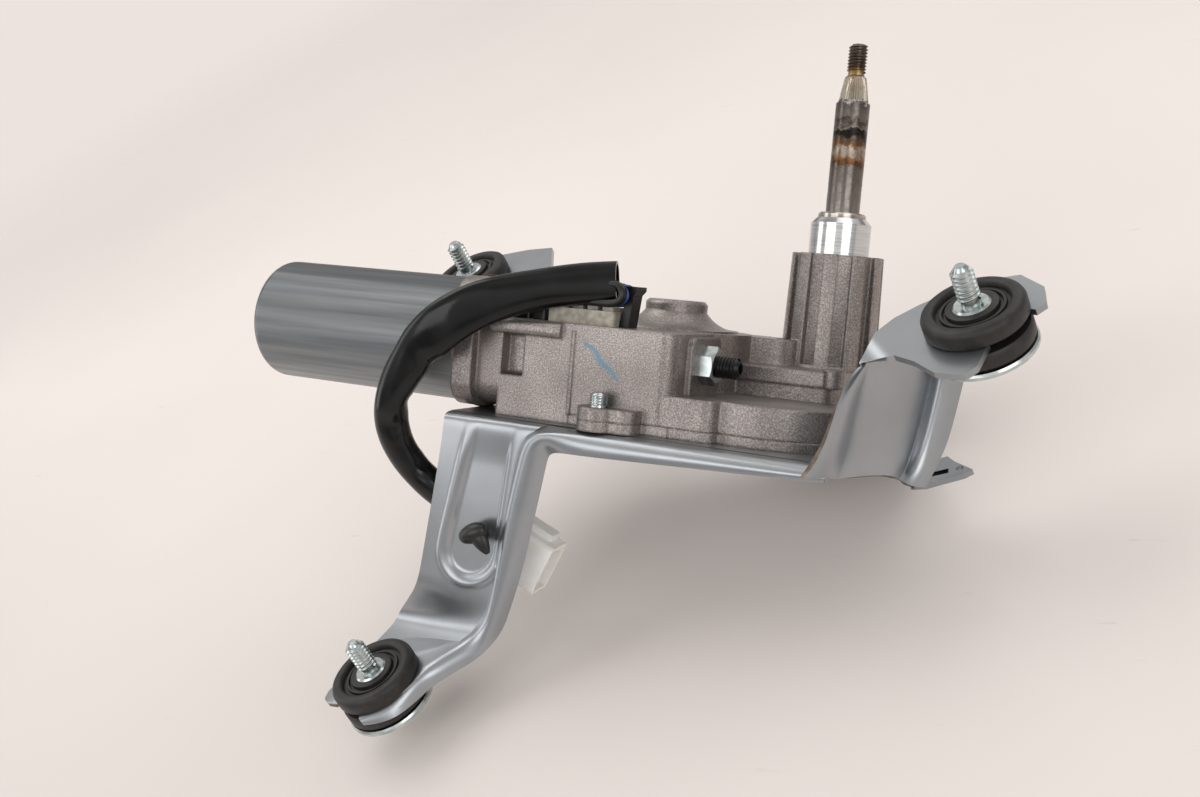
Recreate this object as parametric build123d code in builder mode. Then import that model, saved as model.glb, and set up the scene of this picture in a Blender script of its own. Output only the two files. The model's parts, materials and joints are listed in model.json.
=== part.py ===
from build123d import *
import os
from math import acos, cos, pi, radians, sin, sqrt, tan

os.makedirs("parts", exist_ok=True)

# Rear wiper motor: a worm gear motor on a stamped bracket with three rubber mounts.
# Row frame: +Z along the mounting studs, origin on the right mount, at the seat of its
# sleeve. All lengths in millimetres, all angles in degrees.

# How the gearbox stands on the mounts
spindle_lean = 36.0
motor_dip = 13.0
gear_x, gear_y, gear_z = -72.2, 27.2, -60.9

# The other two mounting points, in the row frame
front_x, front_y, front_z = -177.1, -92.0, -48.7
back_x, back_y, back_z = -186.8, 38.2, 11.1

# Spindle and its support
spindle_radius = 5.3
spindle_end = 104.8
taper_top_radius = 3.3
taper_bottom_radius = 4.6
taper_end = 112.4
thread_radius = 3.0
spindle_tip = 122.6
journal_radius = 4.0
bushing_radius = 9.5
bushing_top = 70.0
bushing_bottom = 24.0
bushing_step_radius = 7.5
running_fit = 0.03
boss_top = 56.7
boss_radius = 14.3
boss_foot_radius = 15.2
boss_ribs = 10
rib_gap_width = 4.4
rib_gap_depth = 2.3

# Motor and worm line
motor_y, motor_z = -50.8, 20.7
can_radius = 19.7
can_wall = 1.6
can_left = -177.4
can_mouth = -95.0
can_rim_round = 3.0
pocket_radius = 7.0
pocket_depth = 3.0
shaft_radius = 2.5
worm_radius = 4.0
worm_length = 22.0
bearing_radius = 5.2

# Gear housing
housing_wall = 2.4
housing_top = 29.6
housing_front = -69.0
housing_back = -33.0
worm_end = -21.3
worm_box_end = -23.0
parting_x = -55.1
neck_x = -80.0
flange_thickness = 7.0
cover_thickness = 3.0
chamber_top = 12.0
shelf_band = 16.6
shelf_top = 21.2
dome_top = 38.6
dome_radius = 9.8

# Gear train
wheel_x, wheel_y = -42.6, -26.0
wheel_teeth = 39
wheel_module = 1.0
wheel_bottom, wheel_top = 14.5, 26.0
wheel_clearance = 1.6
crank_radius = 7.0
crank_pin_radius = 3.0
pinion_teeth = 12
sector_teeth = 22
sector_module = 1.25
gear_thickness = 4.0
link_angle = -100.0
link_thickness = 1.6
link_pin_radius = 3.0
pressure_angle = 20.0
backlash = 0.30

# Sheet bracket
sheet = 1.8
skirt_front = -78.5
base_right, base_left = 24.5, -97.0
fork_drop = 5.8
fork_slot = 15.0

# Rubber mounts and studs
grommet_radius = 13.6
grommet_disc = 5.0
grommet_recess_radius = 9.9
grommet_recess_depth = 1.6
sleeve_radius = 5.0
stud_radius = 3.0
stud_shank_radius = 2.65
stud_length = 11.4
stud_head_radius = 12.6
stud_head_thickness = 3.4

# Bracket screws and adjuster
screw_radius = 2.5
screw_head_radius = 4.6
front_head_radius = 3.8
screw_head_height = 3.6
screw_stub = 4.2
adjuster_radius = 3.2
adjuster_tip = -9.7
adjuster_back = -23.6
nut_across_flats = 10.0
nut_height = 4.8

# Planes of the gearbox, carried into the row frame
lean_angle, dip_angle = radians(spindle_lean), radians(motor_dip)
gear = Plane(
    origin=(gear_x, gear_y, gear_z),
    x_dir=(cos(dip_angle), 0, -sin(dip_angle)),
    z_dir=(cos(lean_angle) * sin(dip_angle), sin(lean_angle), cos(lean_angle) * cos(dip_angle)),
)


def in_gear(x, y, z):
    return gear.from_local_coords((x, y, z))


def upright_plane(x, y):
    """A plane that holds a line along the spindle direction, seen from the front."""
    return Plane(origin=in_gear(x, y, 0), x_dir=gear.x_dir, z_dir=-gear.y_dir)


def upright_line(x, y):
    return Axis(in_gear(x, y, 0), gear.z_dir)


motor = Plane(origin=in_gear(0, motor_y, motor_z), x_dir=gear.y_dir, z_dir=gear.x_dir)
motor_section = Plane(origin=motor.origin, x_dir=gear.x_dir, z_dir=-gear.y_dir)
motor_line = Axis(motor.origin, gear.x_dir)

# Worm wheel, pinion and sector sizes that follow from the teeth
wheel_pitch_radius = wheel_teeth * wheel_module / 2
wheel_tip_radius = wheel_pitch_radius + wheel_module
pinion_pitch_radius = pinion_teeth * sector_module / 2
sector_pitch_radius = sector_teeth * sector_module / 2
link_length = pinion_pitch_radius + sector_pitch_radius
link_pin_x = link_length * cos(radians(link_angle))
link_pin_y = link_length * sin(radians(link_angle))
wheel_room = wheel_tip_radius + wheel_clearance
tower_radius = wheel_room + housing_wall
link_bottom = cover_thickness + 0.4
gear_bottom = link_bottom + link_thickness + 0.2
gear_top = gear_bottom + gear_thickness

# Gear case outline seen along the spindle: wheel tower, round front bulge and spindle foot
bulge_x, bulge_y, bulge_radius = -2.0, -38.0, 27.5
foot_radius = 18.5
with BuildSketch() as chamber_outline:
    with Locations((wheel_x, wheel_y)):
        Circle(tower_radius)
    with Locations((bulge_x, bulge_y)):
        Circle(bulge_radius)
    Circle(foot_radius)
    make_hull()
    with Locations((-22.1, -53.2)):
        RectangleRounded(25.8, 30.6, 5.0)

# Screw lugs of the gear case, each with a stub of screw standing out of it
lug_front = (-43.5, -72.4)
lug_places = [lug_front, (20.5, -8.0), (-64.5, -8.0)]
lug_radius = 6.0
with BuildSketch() as lug_outline:
    with Locations(*lug_places):
        Circle(lug_radius)
    with Locations((lug_front[0] + 3.5, lug_front[1] + 1.5)):
        RectangleRounded(18.0, 9.0, 4.0)
    with Locations((18.0, -8.0)):
        Rectangle(10.0, 2 * lug_radius)
    with Locations((-62.0, -10.0)):
        Rectangle(8.0, 2 * lug_radius)

worm_box_y = (housing_front + housing_back) / 2
worm_box_width = housing_back - housing_front

# Gear housing
with BuildPart() as gear_housing:
    with BuildSketch(gear.offset(cover_thickness)):
        add(chamber_outline.sketch)
    extrude(amount=chamber_top - cover_thickness)
    with BuildSketch(gear.offset(cover_thickness)):
        add(lug_outline.sketch)
    extrude(amount=cover_thickness + 0.8)
    with BuildSketch(gear.offset(cover_thickness)):
        with Locations((wheel_x, wheel_y)):
            Circle(tower_radius)
    extrude(amount=housing_top - cover_thickness)
    # Shelf between the wheel tower and the spindle foot, and the round collar on it
    with BuildSketch(gear.offset(chamber_top)):
        Circle(foot_radius - 2.5)
        with Locations((-8.0, -15.0)):
            RectangleRounded(40.0, 32.0, 3.5)
    extrude(amount=shelf_top - chamber_top)
    with BuildSketch(gear.offset(shelf_band)):
        Circle(foot_radius - 1.5)
        with Locations((-8.0, -15.0)):
            RectangleRounded(42.0, 34.0, 4.0)
    extrude(amount=shelf_top - shelf_band)
    with BuildSketch(gear.offset(shelf_band)):
        with Locations((11.5, -29.4)):
            Circle(3.4)
    extrude(amount=shelf_top - shelf_band + 1.0)
    with BuildSketch(gear.offset(shelf_top)):
        with Locations((-14.5, -10.5)):
            Circle(9.4)
        with Locations((-30.0, -15.0)):
            Circle(9.0)
        make_hull()
    extrude(amount=8.0)
    # Worm box, low at its motor end, and the neck and flange that take the can
    with BuildSketch(gear):
        with Locations(((neck_x + parting_x) / 2, worm_box_y)):
            Rectangle(parting_x - neck_x, worm_box_width)
    extrude(amount=housing_top)
    with BuildSketch(gear.offset(cover_thickness)):
        with Locations(((parting_x + worm_box_end) / 2, worm_box_y)):
            Rectangle(worm_box_end - parting_x, worm_box_width)
    extrude(amount=housing_top - cover_thickness)
    corner = gear_housing.edges().filter_by(Axis((0, 0, 0), gear.z_dir))
    front_right = corner.sort_by_distance(in_gear(worm_box_end, housing_front, housing_top))[0]
    fillet(front_right, radius=5.0)
    # Seat of the lock nut on the end of the worm box
    with BuildSketch(motor.offset(worm_box_end - 2.0)):
        with Locations((1.8, -2.4)):
            RectangleRounded(21.0, 20.6, 3.0)
    extrude(amount=worm_end - worm_box_end + 2.0)
    with BuildSketch(motor.offset(can_mouth + flange_thickness)):
        with Locations((0, 0.3)):
            RectangleRounded(36.5, 36.5, 7.0)
    extrude(amount=neck_x - can_mouth - flange_thickness)
    with BuildSketch(motor.offset(can_mouth)):
        with Locations((0, 0.6)):
            RectangleRounded(43.0, 39.6, 8.0)
    extrude(amount=flange_thickness)
    # Raised ledge along the top of the worm box and the parting rib on its face
    with BuildSketch(motor.offset(neck_x - 3.0)):
        with Locations(((housing_front - motor_y), housing_top - motor_z - 2.4)):
            RectangleRounded(4.0, 4.6, 1.8)
    extrude(amount=24.0)
    with BuildSketch(gear.offset(cover_thickness)):
        with Locations((parting_x, housing_front)):
            Rectangle(1.0, 1.2)
    extrude(amount=housing_top - cover_thickness - 2.0)
    # Worm wheel dome with its flared foot
    with BuildSketch(upright_plane(wheel_x, wheel_y)):
        with BuildLine():
            Polyline((0, housing_top - 1.0), (20.0, housing_top - 1.0), (20.0, housing_top + 0.6))
            ThreePointArc((20.0, housing_top + 0.6), (13.5, housing_top + 2.2), (dome_radius, housing_top + 5.5))
            Polyline(
                (dome_radius, housing_top + 5.5),
                (dome_radius, dome_top - 1.0),
                (dome_radius - 1.0, dome_top),
                (0, dome_top),
                (0, housing_top - 1.0),
            )
        make_face()
    revolve(axis=upright_line(wheel_x, wheel_y))
    # Spindle boss: a drafted column with flutes between flat ribs
    with BuildSketch(upright_plane(0, 0)):
        with BuildLine():
            Polyline(
                (0, shelf_top - 1.0),
                (boss_foot_radius, shelf_top - 1.0),
                (boss_radius, boss_top),
                (0, boss_top),
                close=True,
            )
        make_face()
    revolve(axis=upright_line(0, 0))
    with BuildSketch(gear.offset(shelf_top + 1.0)):
        with PolarLocations(boss_foot_radius + 0.4, boss_ribs, start_angle=9):
            Rectangle(2 * rib_gap_depth + 2.0, rib_gap_width)
    extrude(amount=boss_top - shelf_top, mode=Mode.SUBTRACT)
    # Pocket in the front face of the worm box beside the neck
    with BuildSketch(motor.offset(neck_x + 0.6)):
        with Locations((housing_front - motor_y, -1.9)):
            RectangleRounded(9.0, 12.6, 1.6)
    extrude(amount=7.6, mode=Mode.SUBTRACT)
    # Inner rooms: linkage room, wheel room, worm bore, can mouth and adjuster hole
    with BuildSketch(gear.offset(cover_thickness)):
        with Locations((wheel_x, wheel_y)):
            Circle(wheel_room)
        with Locations((-4.0, -16.0)):
            Circle(22.0)
        make_hull()
    extrude(amount=chamber_top - cover_thickness - 0.8, mode=Mode.SUBTRACT)
    with BuildSketch(gear.offset(cover_thickness)):
        with Locations((wheel_x, wheel_y)):
            Circle(wheel_room)
    extrude(amount=housing_top - housing_wall - cover_thickness, mode=Mode.SUBTRACT)
    with BuildSketch(gear):
        Circle(bushing_radius)
    extrude(amount=boss_top + 1.0, mode=Mode.SUBTRACT)
    with BuildSketch(motor.offset(can_mouth)):
        Circle(can_radius - can_wall - 2.6)
    extrude(amount=13.0, mode=Mode.SUBTRACT)
    with BuildSketch(motor.offset(can_mouth)):
        Circle(worm_radius + 2.6)
    extrude(amount=worm_end - 6.6 - can_mouth, mode=Mode.SUBTRACT)
    with BuildSketch(motor.offset(can_mouth)):
        Circle(adjuster_radius)
    extrude(amount=worm_end - can_mouth + 1.0, mode=Mode.SUBTRACT)
    with BuildSketch(gear):
        with Locations(*lug_places):
            Circle(screw_radius)
    extrude(amount=chamber_top, mode=Mode.SUBTRACT)
gear_housing.part.label = "gear_housing"
export_step(gear_housing.part, "parts/gear_housing.step")

# Cover under the gear case, cut clear of the worm box where that reaches the bracket
with BuildPart() as cover_plate:
    with BuildSketch(gear):
        add(chamber_outline.sketch)
        add(lug_outline.sketch)
        with Locations(((parting_x + worm_box_end) / 2, worm_box_y)):
            Rectangle(worm_box_end - parting_x, worm_box_width)
        with Locations(((neck_x + parting_x) / 2, worm_box_y)):
            Rectangle(parting_x - neck_x, worm_box_width, mode=Mode.SUBTRACT)
        with Locations(*lug_places):
            Circle(screw_radius, mode=Mode.SUBTRACT)
    extrude(amount=cover_thickness)
cover_plate.part.label = "cover_plate"
export_step(cover_plate.part, "parts/cover_plate.step")

# Screws that clamp cover, case and bracket together
with BuildPart() as bracket_screws:
    for x, y in lug_places:
        head_radius = screw_head_radius if y > lug_front[1] else front_head_radius
        with BuildSketch(upright_plane(x, y)):
            with BuildLine():
                Polyline(
                    (0, -sheet - screw_head_height),
                    (head_radius - 0.6, -sheet - screw_head_height),
                    (head_radius, -sheet - screw_head_height + 0.8),
                    (head_radius, -sheet),
                    (screw_radius, -sheet),
                    (screw_radius, 2 * cover_thickness + 0.8 + screw_stub - 0.6),
                    (screw_radius - 0.6, 2 * cover_thickness + 0.8 + screw_stub),
                    (0, 2 * cover_thickness + 0.8 + screw_stub),
                    close=True,
                )
            make_face()
        revolve(axis=upright_line(x, y))
bracket_screws.part.label = "bracket_screws"
export_step(bracket_screws.part, "parts/bracket_screws.step")

# Spindle bushing, pressed into the boss, with a bevelled top
with BuildPart() as spindle_bushing:
    with BuildSketch(upright_plane(0, 0)):
        with BuildLine():
            Polyline(
                (spindle_radius + running_fit, bushing_bottom),
                (bushing_radius, bushing_bottom),
                (bushing_radius, bushing_top - 3.4),
                (bushing_step_radius + 0.4, bushing_top - 1.7),
                (spindle_radius + running_fit, bushing_top - 1.7),
                close=True,
            )
        make_face()
    revolve(axis=upright_line(0, 0))
spindle_bushing.part.label = "spindle_bushing"
export_step(spindle_bushing.part, "parts/spindle_bushing.step")

# Dust washer on top of the bushing
with BuildPart() as dust_washer:
    with BuildSketch(gear.offset(bushing_top - 1.7)):
        Circle(bushing_step_radius)
        Circle(spindle_radius + 0.05, mode=Mode.SUBTRACT)
    extrude(amount=1.7)
    rim = dust_washer.edges().filter_by(GeomType.CIRCLE).sort_by(SortBy.RADIUS)[-2:]
    chamfer(rim.sort_by(Axis(gear.origin, gear.z_dir))[-1], length=0.5)
dust_washer.part.label = "dust_washer"
export_step(dust_washer.part, "parts/dust_washer.step")

# Spindle: journal, long shaft, coned seat for the wiper arm and a threaded end
with BuildPart() as spindle:
    with BuildSketch(upright_plane(0, 0)):
        with BuildLine():
            Polyline(
                (0, link_bottom),
                (journal_radius, link_bottom),
                (journal_radius, gear_top + 0.2),
                (spindle_radius, gear_top + 0.2),
                (spindle_radius, spindle_end - 0.7),
                (taper_bottom_radius, spindle_end),
                (taper_top_radius, taper_end),
                (thread_radius - 0.4, taper_end + 0.8),
                (thread_radius, taper_end + 1.4),
                (thread_radius, spindle_tip - 1.0),
                (thread_radius - 1.0, spindle_tip),
                (0, spindle_tip),
                close=True,
            )
        make_face()
    revolve(axis=upright_line(0, 0))
spindle.part.label = "spindle"
export_step(spindle.part, "parts/spindle.step")


def tooth_flank(pitch_radius, module, tip_radius, root_radius):
    """Half angles of a thinned involute tooth at three radii, from root to tip."""
    base_radius = pitch_radius * cos(radians(pressure_angle))
    half_pitch = pi * module / 4 / pitch_radius - backlash / 2 / pitch_radius
    involute_at_pitch = tan(radians(pressure_angle)) - radians(pressure_angle)
    flank = []
    for radius in (max(root_radius, base_radius), pitch_radius, tip_radius):
        angle = acos(min(1.0, base_radius / radius))
        flank.append((radius, half_pitch + involute_at_pitch - (tan(angle) - angle)))
    return flank


def tooth_outline(pitch_radius, module, tip_radius, root_radius, middle):
    """Closed outline of one tooth, pointing along the middle angle in radians."""
    flank = tooth_flank(pitch_radius, module, tip_radius, root_radius)
    inner = root_radius - 0.3
    side = [(inner, flank[0][1])] + flank
    points = [(r * cos(middle - a), r * sin(middle - a)) for r, a in side]
    points += [(r * cos(middle + a), r * sin(middle + a)) for r, a in reversed(side)]
    return points


# Pinion, pressed on the spindle's lower end
pinion_tip = pinion_pitch_radius + 0.8 * sector_module
pinion_root = pinion_pitch_radius - 1.1 * sector_module
pinion_turn = radians(link_angle)
with BuildPart() as pinion:
    with BuildSketch(gear.offset(gear_bottom)):
        Circle(pinion_root)
        for tooth in range(pinion_teeth):
            middle = pinion_turn + 2 * pi * tooth / pinion_teeth
            with BuildLine():
                Polyline(
                    *tooth_outline(pinion_pitch_radius, sector_module, pinion_tip, pinion_root, middle),
                    close=True,
                )
            make_face()
        Circle(journal_radius, mode=Mode.SUBTRACT)
    extrude(amount=gear_thickness)
pinion.part.label = "pinion"
export_step(pinion.part, "parts/pinion.step")

# Sector gear: a toothed fan on the link pin, with a lever that reaches to the crank pin
sector_tip = sector_pitch_radius + 0.8 * sector_module
sector_root = sector_pitch_radius - 1.1 * sector_module
sector_middle = radians(link_angle) + pi
sector_step = 2 * pi / sector_teeth
crank_x, crank_y = wheel_x + crank_radius, wheel_y
sector_spread = 2
with BuildPart() as sector_gear:
    with BuildSketch(gear.offset(gear_bottom)):
        with BuildSketch(mode=Mode.PRIVATE) as fan:
            with BuildLine():
                fan_from = sector_middle - (sector_spread + 1) * sector_step
                fan_to = sector_middle + (sector_spread + 1) * sector_step
                Polyline(
                    (0, 0),
                    (sector_root * cos(fan_from), sector_root * sin(fan_from)),
                )
                ThreePointArc(
                    (sector_root * cos(fan_from), sector_root * sin(fan_from)),
                    (sector_root * cos(sector_middle), sector_root * sin(sector_middle)),
                    (sector_root * cos(fan_to), sector_root * sin(fan_to)),
                )
                Polyline((sector_root * cos(fan_to), sector_root * sin(fan_to)), (0, 0))
            make_face()
            for tooth in range(-sector_spread, sector_spread + 2):
                middle = sector_middle + (tooth - 0.5) * sector_step
                with BuildLine():
                    Polyline(
                        *tooth_outline(
                            sector_pitch_radius, sector_module, sector_tip, sector_root, middle
                        ),
                        close=True,
                    )
                make_face()
            Circle(link_pin_radius + 3.0)
        with Locations((link_pin_x, link_pin_y)):
            add(fan.sketch)
    extrude(amount=gear_thickness)
    with BuildSketch(gear.offset(gear_bottom)):
        with Locations((link_pin_x, link_pin_y)):
            Circle(link_pin_radius + 3.0)
        with Locations((crank_x, crank_y)):
            Circle(crank_pin_radius + 2.6)
        make_hull()
    extrude(amount=gear_thickness)
    with BuildSketch(gear.offset(gear_bottom)):
        with Locations((link_pin_x, link_pin_y)):
            Circle(link_pin_radius + running_fit)
        with Locations((crank_x, crank_y)):
            Circle(crank_pin_radius + running_fit)
    extrude(amount=gear_thickness, mode=Mode.SUBTRACT)
sector_gear.part.label = "sector_gear"
export_step(sector_gear.part, "parts/sector_gear.step")

# Link plate that holds the sector's pin at one distance from the spindle
with BuildPart() as link_plate:
    with BuildSketch(gear.offset(link_bottom)):
        Circle(journal_radius + 2.6)
        with Locations((link_pin_x, link_pin_y)):
            Circle(link_pin_radius + 2.6)
        make_hull()
        Circle(journal_radius + running_fit, mode=Mode.SUBTRACT)
        with Locations((link_pin_x, link_pin_y)):
            Circle(link_pin_radius, mode=Mode.SUBTRACT)
    extrude(amount=link_thickness)
link_plate.part.label = "link_plate"
export_step(link_plate.part, "parts/link_plate.step")

with BuildPart() as link_pin:
    with BuildSketch(gear.offset(link_bottom)):
        with Locations((link_pin_x, link_pin_y)):
            Circle(link_pin_radius)
    extrude(amount=gear_top - link_bottom)
link_pin.part.label = "link_pin"
export_step(link_pin.part, "parts/link_pin.step")

# Worm wheel on its fixed axle, with the crank pin below it
axle_radius = 3.0
with BuildPart() as worm_wheel:
    with BuildSketch(gear.offset(wheel_bottom)):
        with Locations((wheel_x, wheel_y)):
            Circle(wheel_pitch_radius - 1.2 * wheel_module)
            with PolarLocations(wheel_pitch_radius - 0.1, wheel_teeth):
                Trapezoid(1.9, 2.3, 78, rotation=-90)
            Circle(axle_radius + running_fit, mode=Mode.SUBTRACT)
        with Locations((crank_x, crank_y)):
            Circle(crank_pin_radius, mode=Mode.SUBTRACT)
    extrude(amount=wheel_top - wheel_bottom)
    with BuildSketch(gear.offset(wheel_top - 3.0)):
        with Locations((wheel_x, wheel_y)):
            Circle(wheel_pitch_radius - 3.5)
            Circle(axle_radius + 4.0, mode=Mode.SUBTRACT)
    extrude(amount=3.0, mode=Mode.SUBTRACT)
worm_wheel.part.label = "worm_wheel"
export_step(worm_wheel.part, "parts/worm_wheel.step")

with BuildPart() as crank_pin:
    with BuildSketch(gear.offset(gear_top + 0.3)):
        with Locations((crank_x, crank_y)):
            Circle(crank_pin_radius)
    extrude(amount=wheel_top - 3.0 - gear_top - 0.3)
crank_pin.part.label = "crank_pin"
export_step(crank_pin.part, "parts/crank_pin.step")

with BuildPart() as wheel_axle:
    with BuildSketch(gear.offset(wheel_bottom - 1.0)):
        with Locations((wheel_x, wheel_y)):
            Circle(axle_radius)
    extrude(amount=housing_top - housing_wall - wheel_bottom + 1.0)
wheel_axle.part.label = "wheel_axle"
export_step(wheel_axle.part, "parts/wheel_axle.step")

# Motor can: deep drawn, with a bearing pocket in its closed end
with BuildPart() as motor_can:
    with BuildSketch(motor_section):
        with BuildLine():
            Polyline(
                (can_left - pocket_depth, 0),
                (can_left - pocket_depth, pocket_radius),
                (can_left, pocket_radius),
                (can_left, can_radius),
                (can_mouth, can_radius),
                (can_mouth, can_radius - can_wall),
                (can_left + can_wall, can_radius - can_wall),
                (can_left + can_wall, pocket_radius - can_wall),
                (can_left - pocket_depth + can_wall, pocket_radius - can_wall),
                (can_left - pocket_depth + can_wall, 0),
                close=True,
            )
        make_face()
    revolve(axis=motor_line)
    round_edges = motor_can.edges().filter_by(GeomType.CIRCLE)
    outer_rim = round_edges.sort_by(SortBy.RADIUS)[-2:].sort_by(motor_line)[0]
    fillet(outer_rim, radius=can_rim_round)
motor_can.part.label = "motor_can"
export_step(motor_can.part, "parts/motor_can.step")

# Two curved magnets glued inside the can
magnet_left, magnet_right = -166.0, -112.0
magnet_thickness = 3.4
with BuildPart() as can_magnets:
    with BuildSketch(motor.offset(magnet_left)):
        Circle(can_radius - can_wall)
        Circle(can_radius - can_wall - magnet_thickness, mode=Mode.SUBTRACT)
        Rectangle(2 * can_radius, 12.0, mode=Mode.SUBTRACT)
    extrude(amount=magnet_right - magnet_left)
can_magnets.part.label = "can_magnets"
export_step(can_magnets.part, "parts/can_magnets.step")

# Bearings of the armature shaft
rear_bearing_left = can_left - pocket_depth + can_wall
with BuildPart() as rear_bearing:
    with BuildSketch(motor.offset(rear_bearing_left)):
        Circle(pocket_radius - can_wall)
        Circle(shaft_radius + running_fit, mode=Mode.SUBTRACT)
    extrude(amount=4.0)
rear_bearing.part.label = "rear_bearing"
export_step(rear_bearing.part, "parts/rear_bearing.step")

front_bearing_right = worm_end - 6.6
with BuildPart() as front_bearing:
    with BuildSketch(motor.offset(front_bearing_right - 4.5)):
        Circle(worm_radius + 2.6)
        Circle(shaft_radius + running_fit, mode=Mode.SUBTRACT)
    extrude(amount=4.5)
front_bearing.part.label = "front_bearing"
export_step(front_bearing.part, "parts/front_bearing.step")

# Armature: shaft with its worm, slotted core, end turns and commutator
core_left, core_right = -162.0, -114.0
core_radius = can_radius - can_wall - magnet_thickness - 0.6
worm_left = wheel_x - worm_length / 2 - 1.0
with BuildPart() as armature_shaft:
    with BuildSketch(motor.offset(rear_bearing_left + 0.4)):
        Circle(shaft_radius)
    extrude(amount=front_bearing_right - rear_bearing_left - 0.6)
    with BuildSketch(motor.offset(worm_left)):
        Circle(worm_radius)
    extrude(amount=worm_length - 1.0)
armature_shaft.part.label = "armature_shaft"
export_step(armature_shaft.part, "parts/armature_shaft.step")

slot_count = 10
with BuildPart() as armature_core:
    with BuildSketch(motor.offset(core_left)):
        Circle(core_radius)
        with PolarLocations(core_radius - 0.5, slot_count):
            Rectangle(1.6, 1.8, mode=Mode.SUBTRACT)
        with PolarLocations(core_radius - 3.6, slot_count):
            RectangleRounded(4.6, 3.0, 1.2, mode=Mode.SUBTRACT)
        Circle(shaft_radius, mode=Mode.SUBTRACT)
    extrude(amount=core_right - core_left)
armature_core.part.label = "armature_core"
export_step(armature_core.part, "parts/armature_core.step")

with BuildPart() as armature_windings:
    for station, length in ((core_left - 5.0, 5.0), (core_right, 7.0)):
        with BuildSketch(motor.offset(station)):
            Circle(core_radius - 1.6)
            Circle(shaft_radius, mode=Mode.SUBTRACT)
        extrude(amount=length)
    with BuildSketch(motor.offset(core_left)):
        with PolarLocations(core_radius - 3.6, slot_count):
            RectangleRounded(4.6, 3.0, 1.2)
    extrude(amount=core_right - core_left)
armature_windings.part.label = "armature_windings"
export_step(armature_windings.part, "parts/armature_windings.step")

commutator_left, commutator_length = core_right + 10.0, 15.0
commutator_radius = 5.6
with BuildPart() as commutator:
    with BuildSketch(motor.offset(commutator_left)):
        Circle(commutator_radius)
        with PolarLocations(commutator_radius, slot_count):
            Rectangle(1.2, 0.5, mode=Mode.SUBTRACT)
        Circle(shaft_radius, mode=Mode.SUBTRACT)
    extrude(amount=commutator_length)
commutator.part.label = "commutator"
export_step(commutator.part, "parts/commutator.step")

# Brush card in the mouth of the housing, with two brushes and their springs
brush_card_left = can_mouth + 0.4
housing_mouth_radius = can_radius - can_wall - 2.6
with BuildPart() as brush_card:
    with BuildSketch(motor.offset(brush_card_left)):
        Circle(housing_mouth_radius)
        Circle(commutator_radius + 1.2, mode=Mode.SUBTRACT)
    extrude(amount=1.6)
brush_card.part.label = "brush_card"
export_step(brush_card.part, "parts/brush_card.step")

brush_left = commutator_left + commutator_length - 9.6
brush_length, brush_width, brush_depth = 5.0, 4.6, 4.0
brush_station = brush_card_left + 1.6
with BuildPart() as brushes:
    with BuildSketch(motor.offset(brush_station)):
        with Locations((0, commutator_radius + 0.05 + brush_length / 2)):
            Rectangle(brush_width, brush_length)
        with Locations((0, -commutator_radius - 0.05 - brush_length / 2)):
            Rectangle(brush_width, brush_length)
    extrude(amount=brush_depth)
brushes.part.label = "brushes"
export_step(brushes.part, "parts/brushes.step")

brush_top = commutator_radius + 0.05 + brush_length
with BuildPart() as brush_springs:
    with BuildSketch(motor.offset(brush_station)):
        for side in (1, -1):
            with Locations((0, side * (brush_top + housing_mouth_radius) / 2)):
                Rectangle(3.4, housing_mouth_radius - brush_top - 0.4)
    extrude(amount=3.4)
brush_springs.part.label = "brush_springs"
export_step(brush_springs.part, "parts/brush_springs.step")

# Play adjuster: set screw, lock nut and the ball it presses on
with BuildPart() as adjuster_screw:
    with BuildSketch(motor.offset(adjuster_back)):
        Circle(adjuster_radius)
    extrude(amount=adjuster_tip - adjuster_back)
    tip_edge = adjuster_screw.edges().filter_by(GeomType.CIRCLE).sort_by(motor_line)[-1]
    chamfer(tip_edge, length=0.5)
    with BuildSketch(motor.offset(adjuster_tip)):
        RegularPolygon(1.7, 6)
    extrude(amount=-3.0, mode=Mode.SUBTRACT)
adjuster_screw.part.label = "adjuster_screw"
export_step(adjuster_screw.part, "parts/adjuster_screw.step")

nut_corner_radius = nut_across_flats / 2 / cos(pi / 6)
with BuildPart() as adjuster_nut:
    with BuildSketch(motor.offset(worm_end)):
        RegularPolygon(nut_corner_radius, 6, rotation=30)
        Circle(adjuster_radius, mode=Mode.SUBTRACT)
    extrude(amount=nut_height)
    with BuildSketch(motor_section):
        with BuildLine():
            Polyline(
                (worm_end - 1.0, adjuster_radius),
                (worm_end - 1.0, nut_corner_radius + 1.0),
                (worm_end + nut_height - 0.9, nut_corner_radius + 0.5),
                (worm_end + nut_height, nut_across_flats / 2 - 0.3),
                (worm_end + nut_height, adjuster_radius),
                close=True,
            )
        make_face()
    revolve(axis=motor_line, mode=Mode.INTERSECT)
adjuster_nut.part.label = "adjuster_nut"
export_step(adjuster_nut.part, "parts/adjuster_nut.step")

ball_radius = (adjuster_back - front_bearing_right - 0.2) / 2
with BuildPart() as thrust_ball:
    with BuildSketch(motor_section):
        with Locations((front_bearing_right + 0.1 + ball_radius, 0)):
            Circle(ball_radius)
            with Locations((0, -ball_radius)):
                Rectangle(2 * ball_radius, 2 * ball_radius, mode=Mode.SUBTRACT)
    revolve(axis=motor_line)
thrust_ball.part.label = "thrust_ball"
export_step(thrust_ball.part, "parts/thrust_ball.step")


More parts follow.
